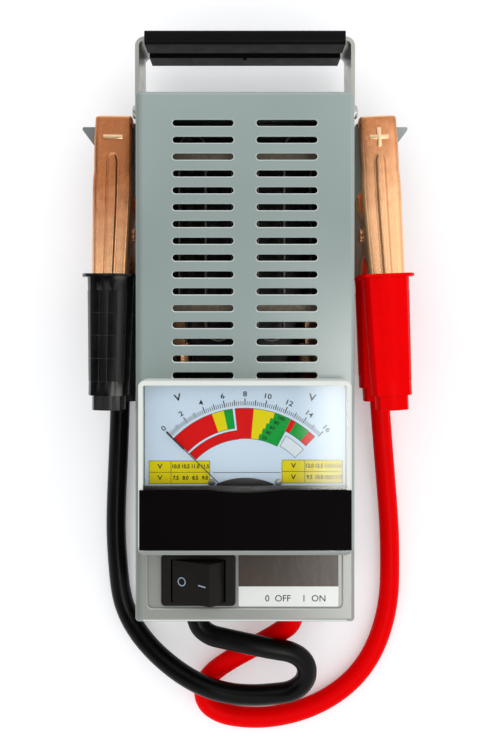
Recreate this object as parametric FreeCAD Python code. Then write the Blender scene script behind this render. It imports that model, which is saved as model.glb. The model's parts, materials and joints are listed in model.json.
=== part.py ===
import FreeCAD, Part
import math
import os

os.makedirs("parts", exist_ok=True)

V = FreeCAD.Vector

# Driving dimensions, in millimetres. X runs across the front panel, Y runs along it towards the handle,
# Z rises out of it. The tester lies on its back at Z = 0.
case_width = 110.0
case_length = 265.8
case_depth = 64.0
sheet = 1.2
bend_radius = 2.0
split_height = 33.0
ear_reach = 32.5
ear_length = 45.0

handle_rise = 34.4
strap_width = 30.0
strap_thickness = 2.0
grip_margin = 3.3
grip_depth = 39.0
grip_height = 7.1

slot_length = 30.6
slot_height = 3.2
slot_rows = 16
slot_column = 21.0
recess_depth = 1.2

meter_width = 103.2
meter_height = 84.3
meter_rise = 15.0
dial_height = 6.0
pivot_rise = 21.3
stud_rise = 25.0
needle_reach = 54.0
needle_rest_deg = 45.8

bezel_length = 37.2
bezel_height = 25.5
rocker_radius = 13.4
rocker_travel_deg = 30.0

ribbon_width = 16.0
ribbon_thickness = 0.8
ribbon_pitch = 14.0

clamp_width = 19.0
clamp_sheet = 1.2
black_yaw_deg = 0.6
red_yaw_deg = 2.4
black_clamp_out = 14.7
red_clamp_out = 17.4
sleeve_width = 24.0
sleeve_height = 16.0
pin_radius = 2.5

lead_diameter = 11.0

# Named clearances.
running = 0.08
slip = 0.1
apart = 0.3
print_gap = 0.15
cover_room = 0.4
snap = 0.2
through = 14.0

# Positions that follow from the driving dimensions.
half_width = case_width / 2
y_low = -(case_length + handle_rise) / 2
y_high = y_low + case_length
grip_top = y_high + handle_rise
panel_z = case_depth
floor_z = case_depth - recess_depth
wall_in = half_width - sheet
lead_radius = lead_diameter / 2


def box(x0, x1, y0, y1, z0, z1):
    return Part.makeBox(x1 - x0, y1 - y0, z1 - z0, V(x0, y0, z0))


def rod(x, y, z, radius, length, axis):
    return Part.makeCylinder(radius, length, V(x, y, z), V(*axis))


def closed(points):
    return Part.Wire(Part.makePolygon(list(points) + [points[0]]))


def plate_xy(points, z0, z1):
    wire = closed([V(x, y, z0) for x, y in points])
    return Part.Face(wire).extrude(V(0, 0, z1 - z0))


def rounded_wire(x0, x1, y0, y1, r, z):
    k = r * math.sqrt(0.5)
    corners = [
        (x1 - r, y0 + r, 1, -1),
        (x1 - r, y1 - r, 1, 1),
        (x0 + r, y1 - r, -1, 1),
        (x0 + r, y0 + r, -1, -1),
    ]
    ends = []
    for cx, cy, sx, sy in corners:
        first = V(cx, cy + sy * r, z)
        last = V(cx + sx * r, cy, z)
        middle = V(cx + sx * k, cy + sy * k, z)
        if sx * sy > 0:
            first, last = last, first
        ends.append((first, middle, last))
    edges = []
    for i, (first, middle, last) in enumerate(ends):
        edges.append(Part.Arc(first, middle, last).toShape())
        edges.append(Part.makeLine(last, ends[(i + 1) % 4][0]))
    return Part.Wire(edges)


def rounded_box(x0, x1, y0, y1, z0, z1, r):
    return Part.Face(rounded_wire(x0, x1, y0, y1, r, z0)).extrude(V(0, 0, z1 - z0))


def slot_wire(x, y, length, height, z):
    r = height / 2
    h = length / 2 - r
    a = V(x - h, y - r, z)
    b = V(x + h, y - r, z)
    c = V(x + h, y + r, z)
    d = V(x - h, y + r, z)
    right = Part.Arc(b, V(x + h + r, y, z), c).toShape()
    left = Part.Arc(d, V(x - h - r, y, z), a).toShape()
    return Part.Wire([Part.makeLine(a, b), right, Part.makeLine(c, d), left])


def edges_at_z(shape, z):
    return [e for e in shape.Edges if all(abs(v.Z - z) < 1e-6 for v in e.Vertexes)]


def edges_upright(shape):
    found = []
    for e in shape.Edges:
        if len(e.Vertexes) < 2:
            continue
        a = e.Vertexes[0].Point
        b = e.Vertexes[1].Point
        if abs(a.x - b.x) < 1e-6 and abs(a.y - b.y) < 1e-6:
            found.append(e)
    return found


def joined(shapes):
    whole = shapes[0].fuse(shapes[1:]) if len(shapes) > 1 else shapes[0]
    return whole.removeSplitter()


def tube(points, radius):
    """A round tube along straight runs joined by tangent arcs; also gives its length and arc radii."""
    runs = [points[i + 1].sub(points[i]) for i in range(len(points) - 1)]
    edges = []
    radii = []
    length = 0.0
    here = points[0]
    for i in range(1, len(points) - 1):
        before = V(runs[i - 1]).normalize()
        after = V(runs[i]).normalize()
        turn = before.getAngle(after)
        reach = 0.45 * min(runs[i - 1].Length, runs[i].Length)
        arc_radius = reach / math.tan(turn / 2)
        start = points[i].sub(before * reach)
        end = points[i].add(after * reach)
        inward = V(after.sub(before)).normalize()
        middle = points[i].add(inward * (arc_radius / math.cos(turn / 2) - arc_radius))
        edges.append(Part.makeLine(here, start))
        edges.append(Part.Arc(start, middle, end).toShape())
        length += here.distanceToPoint(start) + arc_radius * turn
        radii.append(arc_radius)
        here = end
    edges.append(Part.makeLine(here, points[-1]))
    length += here.distanceToPoint(points[-1])
    ring = Part.Wire(Part.makeCircle(radius, points[0], V(runs[0]).normalize()))
    return Part.Wire(edges).makePipeShell([ring], True, False), length, radii


# Folded steel case: a front tray and a rear tray that meet at the split.
meter_bottom = y_low + 37.8
meter_top = meter_bottom + meter_height
meter_half = meter_width / 2
pivot_y = meter_bottom + pivot_rise
body_half = meter_half - 7.6
body_low = meter_bottom + 6.3
body_high = meter_top - 12.0
recess_half = half_width - 6.5
recess_low = y_low + 7.2
recess_high = meter_top - 6.0
switch_x = -half_width + 31.7
switch_y = y_low + 21.2
bezel_z = floor_z + 2.4
body_x = bezel_length / 2 - 3.2
body_y = bezel_height / 2 - 0.9
label_x0 = switch_x + bezel_length / 2 + 1.5
label_x1 = recess_half - 1.7
label_y0 = recess_low + 0.5
label_y1 = meter_bottom - 1.7
gland_x = 0.25 * case_width
gland_z = 24.0
gland_nose = 5.0
gland_hole = lead_radius + 2.1
slot_first = y_high - 15.9
slot_last = meter_top + 1.35
slot_pitch = (slot_first - slot_last) / (slot_rows - 1)
strap_mid = split_height + 1.5
strap_z0 = strap_mid - strap_width / 2
strap_z1 = strap_mid + strap_width / 2
strap_low = y_high - 10.2
strap_screw_y = y_high - 5.2
strap_screw = 2.0
strap_hole = strap_screw + 0.2
strap_screw_z = [strap_mid - strap_width / 2 + 6.5, strap_mid + strap_width / 2 - 6.5]
cover_screw_y = [y_high - 36.0, y_low + 50.0]
cover_screw_z = split_height + 6.5
post_x = half_width - 11.0
bar_top_y = y_high - 28.7
bar_low_y = meter_top + 35.3
ear_top = y_high - 10.7


def tray(z_open, z_closed):
    low = min(z_open, z_closed)
    high = max(z_open, z_closed)
    step = sheet if z_closed < z_open else -sheet
    outer = box(-half_width, half_width, y_low, y_high, low, high)
    outer = outer.makeFillet(bend_radius, edges_at_z(outer, z_closed) + edges_upright(outer))
    over = 1.0 if z_closed < z_open else -1.0
    in_low = min(z_open + over, z_closed + step)
    in_high = max(z_open + over, z_closed + step)
    inner = box(-wall_in, wall_in, y_low + sheet, y_high - sheet, in_low, in_high)
    inner_radius = max(bend_radius - sheet, 0.3)
    inner = inner.makeFillet(inner_radius, edges_at_z(inner, z_closed + step) + edges_upright(inner))
    return outer.cut(inner)


def side_holes(y, z, radius):
    return rod(-half_width - 1, y, z, radius, case_width + 2, (1, 0, 0))


def front_cover():
    shell = tray(split_height, panel_z)
    pad = box(
        -recess_half - sheet, recess_half + sheet, recess_low - sheet, recess_high + sheet,
        floor_z - sheet, panel_z - sheet,
    )
    shell = shell.fuse(pad)
    draft = 0.7
    low_wire = rounded_wire(-recess_half, recess_half, recess_low, recess_high, 2.0, floor_z)
    top_wire = rounded_wire(
        -recess_half - draft, recess_half + draft, recess_low - draft, recess_high + draft,
        2.0 + draft, panel_z + 0.01,
    )
    tools = [Part.makeLoft([low_wire, top_wire], True, True)]
    for row in range(slot_rows):
        y = slot_first - row * slot_pitch
        for x in (-slot_column, slot_column):
            deep = Part.Face(slot_wire(x, y, slot_length, slot_height, panel_z - 4)).extrude(V(0, 0, 5))
            low = slot_wire(x, y, slot_length, slot_height, panel_z - 0.45)
            top = slot_wire(x, y, slot_length + 0.9, slot_height + 0.9, panel_z + 0.01)
            tools.append(deep)
            tools.append(Part.makeLoft([low, top], True, True))
    tools.append(
        box(
            -body_half - apart, body_half + apart, body_low - apart, body_high + apart,
            panel_z - through, panel_z + 1,
        )
    )
    tools.append(
        box(
            switch_x - body_x - snap, switch_x + body_x + snap,
            switch_y - body_y - snap, switch_y + body_y + snap, panel_z - through, panel_z + 1,
        )
    )
    for y in cover_screw_y:
        tools.append(side_holes(y, cover_screw_z, 1.7))
    tools.append(side_holes(strap_screw_y, strap_screw_z[1], strap_hole))
    return shell.cut(tools)


def ear(side):
    root = wall_in
    tip = half_width + ear_reach
    outline = [(root, ear_top), (tip, ear_top), (tip, ear_top - 1.6), (root, ear_top - ear_length - 1.6)]
    flat = plate_xy([(side * x, y) for x, y in outline], split_height - sheet, split_height)
    corners = [e for e in edges_upright(flat) if abs(e.Vertexes[0].X) > tip - 0.01]
    return flat.makeFillet(0.7, corners)


def screw_lug(side, y):
    z_mid = split_height - 0.5
    outer_low = wall_in + 0.2
    outer_high = wall_in - print_gap
    inner = outer_high - sheet
    pair = []
    for outer, z0, z1 in ((outer_low, split_height - 12, z_mid), (outer_high, z_mid, split_height + 11)):
        x0 = min(side * inner, side * outer)
        pair.append(box(x0, x0 + outer - inner, y - 8, y + 8, z0, z1))
    return pair


def rear_cover():
    shell = tray(split_height, 0.0)
    added = []
    for side in (-1, 1):
        added.append(ear(side))
        for y in cover_screw_y:
            added.extend(screw_lug(side, y))
    shell = joined([shell] + added)
    tools = []
    for y in cover_screw_y:
        tools.append(side_holes(y, cover_screw_z, 1.6))
    tools.append(side_holes(strap_screw_y, strap_screw_z[0], strap_hole))
    for x in (-gland_x, gland_x):
        tools.append(rod(x, y_low - 1, gland_z, gland_hole + slip, sheet + 2, (0, 1, 0)))
    for x in (-post_x, post_x):
        for y in (bar_top_y, bar_low_y):
            tools.append(Part.makeCone(3.7, 2.2, 1.5, V(x, y, -0.01), V(0, 0, 1)))
            tools.append(rod(x, y, -0.5, 2.1, 3, (0, 0, 1)))
    return shell.cut(tools)


def pan_head_screw(x, y, z, side, shank, length, head, rise):
    """Screw through the case side: the head seats at x and the shank runs inwards."""
    cap = rod(x, y, z, head, rise, (side, 0, 0))
    rim = [e for e in cap.Edges if len(e.Vertexes) == 1 and abs(e.Vertexes[0].X - (x + side * rise)) < 1e-6]
    cap = cap.makeFillet(rise * 0.6, rim)
    cross = []
    for dy, dz in ((head * 0.55, 0.35), (0.35, head * 0.55)):
        a = x + side * rise * 0.45
        b = x + side * (rise + 1)
        cross.append(box(min(a, b), max(a, b), y - dy, y + dy, z - dz, z + dz))
    stem = rod(x, y, z, shank, length, (-side, 0, 0))
    return cap.cut(cross).fuse(stem).removeSplitter()


def cover_screws():
    return [
        pan_head_screw(side * half_width, y, cover_screw_z, side, 1.5, 6.0, 3.0, 2.0)
        for side in (-1, 1)
        for y in cover_screw_y
    ]


# Carrying handle: a steel strap bent into a U with a moulded channel grip on its crossbar.
strap_x = half_width + strap_thickness
strap_top = grip_top - 2.0


def handle_strap():
    bend_out = 5.0
    bend_in = bend_out - strap_thickness
    outer = box(-strap_x, strap_x, strap_low, strap_top, strap_z0, strap_z1)
    high = [e for e in outer.Edges if all(abs(v.Y - strap_top) < 1e-6 for v in e.Vertexes)]
    outer = outer.makeFillet(bend_out, [e for e in high if abs(e.Vertexes[0].X - e.Vertexes[1].X) < 1e-6])
    inner = box(
        -half_width, half_width, strap_low - 5, strap_top - strap_thickness,
        strap_z0 - 1, strap_z1 + 1,
    )
    high = [e for e in inner.Edges if all(abs(v.Y - strap_top + strap_thickness) < 1e-6 for v in e.Vertexes)]
    inner = inner.makeFillet(bend_in, [e for e in high if abs(e.Vertexes[0].X - e.Vertexes[1].X) < 1e-6])
    strap = outer.cut(inner)
    foot = [
        e
        for e in strap.Edges
        if len(e.Vertexes) == 2
        and abs(e.Vertexes[0].X - e.Vertexes[1].X) > strap_thickness - 0.01
        and all(abs(v.Y - strap_low) < 1e-6 for v in e.Vertexes)
    ]
    strap = strap.makeFillet(3.0, foot)
    span = 2 * strap_x + 2
    holes = [rod(-strap_x - 1, strap_screw_y, z, strap_hole, span, (1, 0, 0)) for z in strap_screw_z]
    return strap.cut(holes)


def handle_grip():
    low = grip_top - grip_height
    z0 = strap_mid - grip_depth / 2
    z1 = strap_mid + grip_depth / 2
    half = half_width - grip_margin
    outer = box(-half, half, low, grip_top, z0, z1)
    lengthwise = [e for e in outer.Edges if abs(e.Vertexes[0].X - e.Vertexes[1].X) > 1]
    outer = outer.makeFillet(2.2, lengthwise)
    bed = box(
        -half - 1, half + 1, strap_top - strap_thickness - slip, strap_top + slip,
        strap_z0 - slip, strap_z1 + slip,
    )
    gap = box(-half - 1, half + 1, low - 1, strap_top - 0.5, strap_mid - 4.0, strap_mid + 4.0)
    nib = box(-0.9, 0.9, low - 0.8, low + 0.5, z0 + 5, strap_mid - 5.0)
    return outer.cut([bed, gap]).fuse(nib).removeSplitter()


def handle_screws():
    return [
        pan_head_screw(side * strap_x, strap_screw_y, z, side, strap_screw, 10.0, 3.6, 2.0)
        for side in (-1, 1)
        for z in strap_screw_z
    ]


def handle_nuts():
    nuts = []
    for side in (-1, 1):
        for z in strap_screw_z:
            ring = []
            for i in range(6):
                a = math.radians(60 * i + 30)
                ring.append(V(side * wall_in, strap_screw_y + 3.9 * math.cos(a), z + 3.9 * math.sin(a)))
            nut = Part.Face(closed(ring)).extrude(V(-side * 3.0, 0, 0))
            bore = rod(side * (half_width + 1), strap_screw_y, z, strap_screw + slip, 12, (-side, 0, 0))
            nuts.append(nut.cut(bore))
    return nuts


def panel_label():
    return rounded_box(label_x0, label_x1, label_y0, label_y1, floor_z, floor_z + 0.3, 0.8)


# Panel voltmeter.
cover_wall = 1.9
cover_front = 2.0
cover_top = panel_z + meter_rise
dial_top = panel_z + dial_height
dial_sheet = 0.8
dial_half = meter_half - cover_wall - cover_room
dial_high = meter_top - 3.2
shelf_z1 = cover_top - cover_front - 0.2
shelf_z0 = shelf_z1 - 2.0
shelf_high = pivot_y + 11.8
needle_z = dial_top + 2.4
dial_screw = 1.0
dial_screw_x = 16.4
dial_screw_y = pivot_y + 12.4
dial_eye = 7.0


def meter_cover():
    outer = rounded_box(-meter_half, meter_half, meter_bottom, meter_top, panel_z, cover_top, 3.0)
    outer = outer.makeFillet(1.2, edges_at_z(outer, cover_top))
    inner = rounded_box(
        -meter_half + cover_wall, meter_half - cover_wall, meter_bottom + cover_wall, meter_top - cover_wall,
        panel_z - 1, cover_top - cover_front, 1.2,
    )
    return outer.cut(inner)


def meter_mask():
    """Black bar stuck over the lower front of the clear cover, with a shallow dip in its top edge."""
    top = pivot_y + 10.3
    low = meter_bottom + 2.8
    left = -meter_half + 0.7
    right = meter_half - 0.3
    plate = box(left, right, low, top, cover_top, cover_top + 1.0)
    dip = 1.5
    half = 18.0
    r = (half * half + dip * dip) / (2 * dip)
    plate = plate.cut(rod(0, top - dip + r, cover_top - 1, r, 4, (0, 0, 1)))
    return plate.makeChamfer(0.3, edges_at_z(plate, cover_top + 1.0))


def movement_shelf():
    """Dark inner ledge behind the bar that hides the movement."""
    half = dial_half
    low = meter_bottom + cover_wall + cover_room
    top = box(-half, half, low, shelf_high, shelf_z0, shelf_z1)
    feet = [
        box(-half, -half + 3, low, shelf_high - 3, dial_top, shelf_z0),
        box(half - 3, half, low, shelf_high - 3, dial_top, shelf_z0),
    ]
    return joined([top] + feet)


def dial_plate():
    low = meter_bottom + cover_wall + cover_room
    plate = box(-dial_half, dial_half, low, dial_high, dial_top - dial_sheet, dial_top)
    holes = [rod(0, pivot_y, dial_top - 5, dial_eye, 10, (0, 0, 1))]
    for x in (-dial_screw_x, dial_screw_x):
        holes.append(rod(x, dial_screw_y, dial_top - 5, dial_screw + slip, 10, (0, 0, 1)))
    return plate.cut(holes)


def dial_screws():
    made = []
    y = dial_screw_y
    for x in (-dial_screw_x, dial_screw_x):
        head = rod(x, y, dial_top, 1.7, 1.0, (0, 0, 1))
        head = head.makeFillet(0.4, edges_at_z(head, dial_top + 1.0))
        head = head.cut(box(x - 2, x + 2, y - 0.25, y + 0.25, dial_top + 0.5, dial_top + 2))
        made.append(head.fuse(rod(x, y, dial_top - 3.0, dial_screw, 3.0, (0, 0, 1))).removeSplitter())
    return made


def movement_cap():
    """Dark curved cap of the movement that looks over the ledge."""
    r = 35.0
    top = pivot_y + 14.6
    disc = rod(0, top - r, dial_top, r, 1.2, (0, 0, 1))
    keep = box(-14.0, 14.0, pivot_y + 8.0, top + 1, dial_top - 1, dial_top + 3)
    return disc.common(keep)


body_floor = 34.0
stud_y = pivot_y + stud_rise
stud_x = 14.0
stud_radius = 2.0


def meter_body():
    flange_low = meter_bottom + cover_wall + cover_room
    outer = box(-body_half, body_half, body_low, body_high, body_floor, panel_z)
    flange = box(-dial_half, dial_half, flange_low, dial_high, panel_z, dial_top - dial_sheet)
    whole = outer.fuse(flange)
    cavity = box(-body_half + 2, body_half - 2, body_low + 2, body_high - 2, body_floor + 2, dial_top + 1)
    boss = 2.2
    rib_y = dial_screw_y + 1.6
    rib = box(-body_half + 1, body_half - 1, rib_y, rib_y + 1.6, body_floor + 1, panel_z)
    added = [rib]
    holes = []
    for x in (-dial_screw_x, dial_screw_x):
        added.append(
            box(
                x - boss, x + boss, dial_screw_y - boss, dial_screw_y + boss,
                panel_z - boss, dial_top - dial_sheet,
            )
        )
        holes.append(rod(x, dial_screw_y, dial_top - 5, dial_screw + slip, 10, (0, 0, 1)))
    for x in (-stud_x, stud_x):
        holes.append(rod(x, stud_y, body_floor - 4, stud_radius + 0.05, 10, (0, 0, 1)))
    return whole.cut(cavity).fuse(added).cut(holes).removeSplitter()


def meter_studs():
    made = []
    y = stud_y
    for x in (-stud_x, stud_x):
        stem = rod(x, y, body_floor - 12.0, stud_radius, 18.0, (0, 0, 1))
        head = rod(x, y, body_floor + 2.0, 4.0, 2.0, (0, 0, 1))
        made.append(stem.fuse(head).removeSplitter())
    return made


def hex_nut(x, y, z, across, thick, bore):
    ring = []
    for i in range(6):
        a = math.radians(60 * i)
        ring.append((x + across / math.sqrt(3) * math.cos(a), y + across / math.sqrt(3) * math.sin(a)))
    return plate_xy(ring, z, z + thick).cut(rod(x, y, z - 1, bore, thick + 2, (0, 0, 1)))


def meter_bracket():
    y = stud_y
    leg_in = body_half + 0.8
    leg_out = leg_in + 1.5
    base_top = body_floor
    parts = [box(-leg_out, leg_out, y - 6, y + 6, base_top - 1.5, base_top)]
    for side in (-1, 1):
        x0 = min(side * leg_in, side * leg_out)
        parts.append(box(x0, x0 + 1.5, y - 6, y + 6, base_top - 1.5, floor_z - sheet))
    holes = [rod(x, y, base_top - 14, stud_radius + slip, 20, (0, 0, 1)) for x in (-stud_x, stud_x)]
    return joined(parts).cut(holes)


def meter_nuts():
    y = stud_y
    return [hex_nut(x, y, body_floor - 1.5 - 3.0, 7.0, 3.0, stud_radius + slip) for x in (-stud_x, stud_x)]


# Moving-coil movement around the needle axis.
yoke_in = 9.2
yoke_out = 11.4
yoke_z0 = 48.0
yoke_z1 = 60.0


def ring(r_in, r_out, z0, z1):
    hole = rod(0, pivot_y, z0 - 1, r_in, z1 - z0 + 2, (0, 0, 1))
    return rod(0, pivot_y, z0, r_out, z1 - z0, (0, 0, 1)).cut(hole)


def movement_frame():
    pillar = rod(0, pivot_y, body_floor + 2.0, 5.0, 44.0 - body_floor - 2.0, (0, 0, 1))
    plate = rod(0, pivot_y, 44.0, yoke_out, 2.0, (0, 0, 1))
    rim = ring(yoke_in, yoke_out, 46.0, yoke_z0)
    whole = joined([pillar, plate, rim])
    return whole.cut(rod(0, pivot_y, 44.6, 0.6 + running, 5, (0, 0, 1)))


def magnet_yoke():
    shell = ring(yoke_in, yoke_out, yoke_z0, yoke_z1)
    poles = ring(7.6, yoke_in, yoke_z0, yoke_z1)
    wide = yoke_out + 1.0
    sector = box(-wide, wide, pivot_y - 5.5, pivot_y + 5.5, yoke_z0 - 1, yoke_z1 + 1)
    return joined([shell, poles.common(sector)])


def iron_core():
    core = rod(0, pivot_y, yoke_z0 + 1.5, 5.6, yoke_z1 - yoke_z0 - 3.0, (0, 0, 1))
    reach = math.sqrt(yoke_in ** 2 - 2.0 ** 2)
    arm = box(-2.0, 2.0, pivot_y - reach, pivot_y + reach, yoke_z0 + 4.0, yoke_z1 - 4.0)
    return joined([core, arm])


def turned(shape, degrees):
    copy = shape.copy()
    copy.rotate(V(0, pivot_y, 0), V(0, 0, 1), degrees)
    return copy


def moving_coil():
    z0 = yoke_z0 + 0.2
    z1 = yoke_z1 - 0.2
    parts = []
    for side in (-1, 1):
        x0 = min(side * 6.1, side * 7.1)
        parts.append(box(x0, x0 + 1.0, pivot_y - 1.4, pivot_y + 1.4, z0, z1))
    parts.append(box(-7.1, 7.1, pivot_y - 1.4, pivot_y + 1.4, z0, z0 + 0.9))
    parts.append(box(-7.1, 7.1, pivot_y - 1.4, pivot_y + 1.4, z1 - 0.9, z1))
    parts.append(rod(0, pivot_y, z1 - 0.5, 0.6, needle_z - z1 + 0.5 - 0.2, (0, 0, 1)))
    parts.append(rod(0, pivot_y, 44.9, 0.6, z0 + 0.5 - 44.9, (0, 0, 1)))
    return turned(joined(parts), needle_rest_deg)


def upper_bridge():
    bar = box(-2.6, 2.6, pivot_y - yoke_out + 0.4, pivot_y + yoke_out - 0.4, yoke_z1 + 1.6, yoke_z1 + 3.0)
    feet = []
    for side in (-1, 1):
        y0 = pivot_y + side * (yoke_in + yoke_out) / 2
        feet.append(box(-2.6, 2.6, y0 - 0.6, y0 + 0.6, yoke_z1, yoke_z1 + 1.8))
    return joined([bar] + feet).cut(rod(0, pivot_y, yoke_z1, 0.6 + running, 6, (0, 0, 1)))


def hair_spring():
    z0 = yoke_z1 + 3.9
    thick = 0.2
    step = 0.55
    halves = []
    for i in range(9):
        r = 1.1 + step * i / 2
        cx = 0.0 if i % 2 == 0 else step / 2
        up = 1 if i % 2 == 0 else -1
        flat = rod(cx, pivot_y, z0, r + thick / 2, 0.5, (0, 0, 1))
        flat = flat.cut(rod(cx, pivot_y, z0 - 1, r - thick / 2, 3, (0, 0, 1)))
        y0 = pivot_y if up > 0 else pivot_y - 9
        halves.append(flat.common(box(-9, 9, y0, y0 + 9, z0 - 1, z0 + 2)))
    end_x = 1.1 + step * 8 / 2
    post = box(-end_x - 0.5, -end_x + 0.5, pivot_y - 0.4, pivot_y + 0.4, yoke_z1 + 3.0, z0 + 0.5)
    arm = box(-end_x - 0.5, -2.0, pivot_y - 0.4, pivot_y + 0.4, yoke_z1 + 3.0, yoke_z1 + 3.4)
    return joined(halves + [post, arm])


def needle():
    tail = 9.0
    outline = [
        (-0.55, -tail), (0.55, -tail), (0.7, 0), (0.32, needle_reach - 13), (0.5, needle_reach - 12),
        (0.45, needle_reach - 1), (0.1, needle_reach), (-0.1, needle_reach), (-0.45, needle_reach - 1),
        (-0.5, needle_reach - 12), (-0.32, needle_reach - 13), (-0.7, 0),
    ]
    blade = plate_xy([(x, pivot_y + y) for x, y in outline], needle_z, needle_z + 0.5)
    hub = rod(0, pivot_y, needle_z - 0.2, 2.2, 1.3, (0, 0, 1))
    weight = rod(0, pivot_y - tail, needle_z - 0.2, 1.3, 1.0, (0, 0, 1))
    return turned(joined([blade, hub, weight]), needle_rest_deg)


# Rocker switch.
rocker_pivot_z = bezel_z - 3.9
window_x = rocker_radius + 0.25
window_y = body_y - 1.2
housing_floor = 38.0
fulcrum_z = 46.0
contact_arm = 7.9
contact_x = switch_x - contact_arm
contact_rest_deg = 0.2 * rocker_travel_deg
blade_half = 4.0
blade_thick = 0.8
blade_low = 20.0


def about(dx, dz):
    return (switch_x + dx, rocker_pivot_z + dz)


def switch_housing():
    half_x = bezel_length / 2
    half_y = bezel_height / 2
    bezel = rounded_box(
        switch_x - half_x, switch_x + half_x, switch_y - half_y, switch_y + half_y, floor_z, bezel_z, 2.0
    )
    bezel = bezel.makeFillet(0.8, edges_at_z(bezel, bezel_z))
    body = box(
        switch_x - body_x, switch_x + body_x, switch_y - body_y, switch_y + body_y,
        housing_floor, floor_z + 0.5,
    )
    cavity = box(
        switch_x - window_x, switch_x + window_x, switch_y - window_y, switch_y + window_y,
        housing_floor + 2.5, bezel_z + 1,
    )
    reach = window_y + 0.85
    bores = rod(switch_x, switch_y - reach, rocker_pivot_z, 2.0 + running, 2 * reach, (0, 1, 0))
    slits = []
    wide = blade_half + slip
    deep = blade_thick / 2 + slip
    for x in (switch_x, contact_x):
        slits.append(
            box(x - deep, x + deep, switch_y - wide, switch_y + wide, housing_floor - 1, housing_floor + 4)
        )
    return joined([bezel, body]).cut([cavity, bores] + slits)


def rocker_axis_deg():
    return -rocker_travel_deg / 2


def plunger_point(distance):
    a = math.radians(rocker_axis_deg())
    return V(switch_x - distance * math.sin(a), switch_y, rocker_pivot_z - distance * math.cos(a))


def plunger_way():
    a = math.radians(rocker_axis_deg())
    return V(-math.sin(a), 0, -math.cos(a))


def switch_rocker():
    r = rocker_radius
    left = math.radians(163.0)
    ridge = math.radians(62.5)
    right = math.radians(-10.0)
    low_left = math.radians(197.0)

    def at(angle):
        x, z = about(r * math.cos(angle), r * math.sin(angle))
        return V(x, switch_y - window_y + apart, z)

    edges = [
        Part.makeLine(at(left), at(ridge)),
        Part.Arc(at(ridge), at((ridge + right) / 2), at(right)).toShape(),
        Part.makeLine(at(right), at(low_left)),
        Part.Arc(at(low_left), at((low_left + left) / 2), at(left)).toShape(),
    ]
    width = 2 * (window_y - apart)
    solid = Part.Face(Part.Wire(edges)).extrude(V(0, width, 0))
    top_ridge = []
    for e in solid.Edges:
        if len(e.Vertexes) == 2 and all(abs(v.Point.x - at(ridge).x) < 1e-6 for v in e.Vertexes):
            top_ridge.append(e)
    solid = solid.makeFillet(0.6, top_ridge)
    reach = window_y + 0.6
    pins = rod(switch_x, switch_y - reach, rocker_pivot_z, 2.0, 2 * reach, (0, 1, 0))
    boss = Part.makeCylinder(3.4, 6.5, plunger_point(3.0), plunger_way())
    bore = Part.makeCylinder(1.7, 8.0, plunger_point(4.0), plunger_way())
    return joined([solid, pins, boss]).cut(bore)


def rocker_plunger():
    stem = Part.makeCylinder(1.6, 6.1, plunger_point(6.5), plunger_way())
    tip = Part.makeSphere(1.6, plunger_point(12.6))
    return stem.fuse(tip).removeSplitter()


def coil_spring(start, way, radius, wire, turns, height):
    helix = Part.makeHelix(height / turns, height, radius)
    section = Part.Wire(Part.makeCircle(wire, V(radius, 0, 0), V(0, 1, 0)))
    spring = Part.Wire(helix.Edges).makePipeShell([section], True, True)
    placed = spring.copy()
    placed.Placement = FreeCAD.Placement(start, FreeCAD.Rotation(V(0, 0, 1), way))
    return placed


def plunger_spring():
    return coil_spring(plunger_point(4.4), plunger_way(), 1.15, 0.2, 3, 1.7)


def contact_bar():
    half = contact_arm + 0.5
    bar = box(
        switch_x - half, switch_x + half, switch_y - 3.2, switch_y + 3.2, fulcrum_z, fulcrum_z + 0.8
    )
    groove = rod(switch_x, switch_y - 4, fulcrum_z, blade_thick / 2 + running, 8, (0, 1, 0))
    button = rod(contact_x + 0.7, switch_y, fulcrum_z - 0.5, 1.8, 0.8, (0, 0, 1))
    bar = bar.fuse(button).removeSplitter().cut(groove)
    bar.rotate(V(switch_x, switch_y, fulcrum_z), V(0, 1, 0), contact_rest_deg)
    return bar


def common_terminal():
    """Blade whose rounded top edge is the pivot of the contact bar."""
    half = blade_thick / 2
    blade = box(
        switch_x - half, switch_x + half, switch_y - blade_half, switch_y + blade_half,
        blade_low, fulcrum_z,
    )
    edge = rod(switch_x, switch_y - blade_half, fulcrum_z, half, 2 * blade_half, (0, 1, 0))
    return joined([blade, edge])


def contact_terminal():
    x = contact_x
    half = blade_thick / 2
    drop = math.sin(math.radians(contact_rest_deg)) * contact_arm
    top = fulcrum_z - 0.5 - drop - 0.45
    blade = box(x - half, x + half, switch_y - blade_half, switch_y + blade_half, blade_low, top - 0.6)
    pad = box(x - 1.6, x + 2.4, switch_y - 3.0, switch_y + 3.0, top - 0.8, top)
    return joined([blade, pad])


# Load: a resistance ribbon zigzagging between two insulating bars.
bar_z0 = 18.0
ribbon_z0 = 22.0
ribbon_z1 = ribbon_z0 + ribbon_width
bar_z1 = ribbon_z1 + 6.0
run_x = [ribbon_pitch * (i - 2.5) for i in range(6)]
turn_high = bar_top_y + 5.6
turn_low = bar_low_y - 10.3
lug_high = bar_low_y - 3.3
lug_low = lug_high - 16.0
barrel_low = lug_low - 14.0
lead_z = 24.0


def load_bar(y):
    half = half_width - 6.0
    bar = box(-half, half, y - 2.2, y + 2.2, bar_z0, bar_z1)
    windows = []
    gap = ribbon_thickness / 2 + 0.2
    for x in run_x:
        windows.append(box(x - gap, x + gap, y - 4, y + 4, ribbon_z0 - 0.2, ribbon_z1 + 0.3))
    holes = [rod(x, y, bar_z0 - 1, 1.7, 9, (0, 0, 1)) for x in (-post_x, post_x)]
    return bar.cut(windows + holes)


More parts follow.
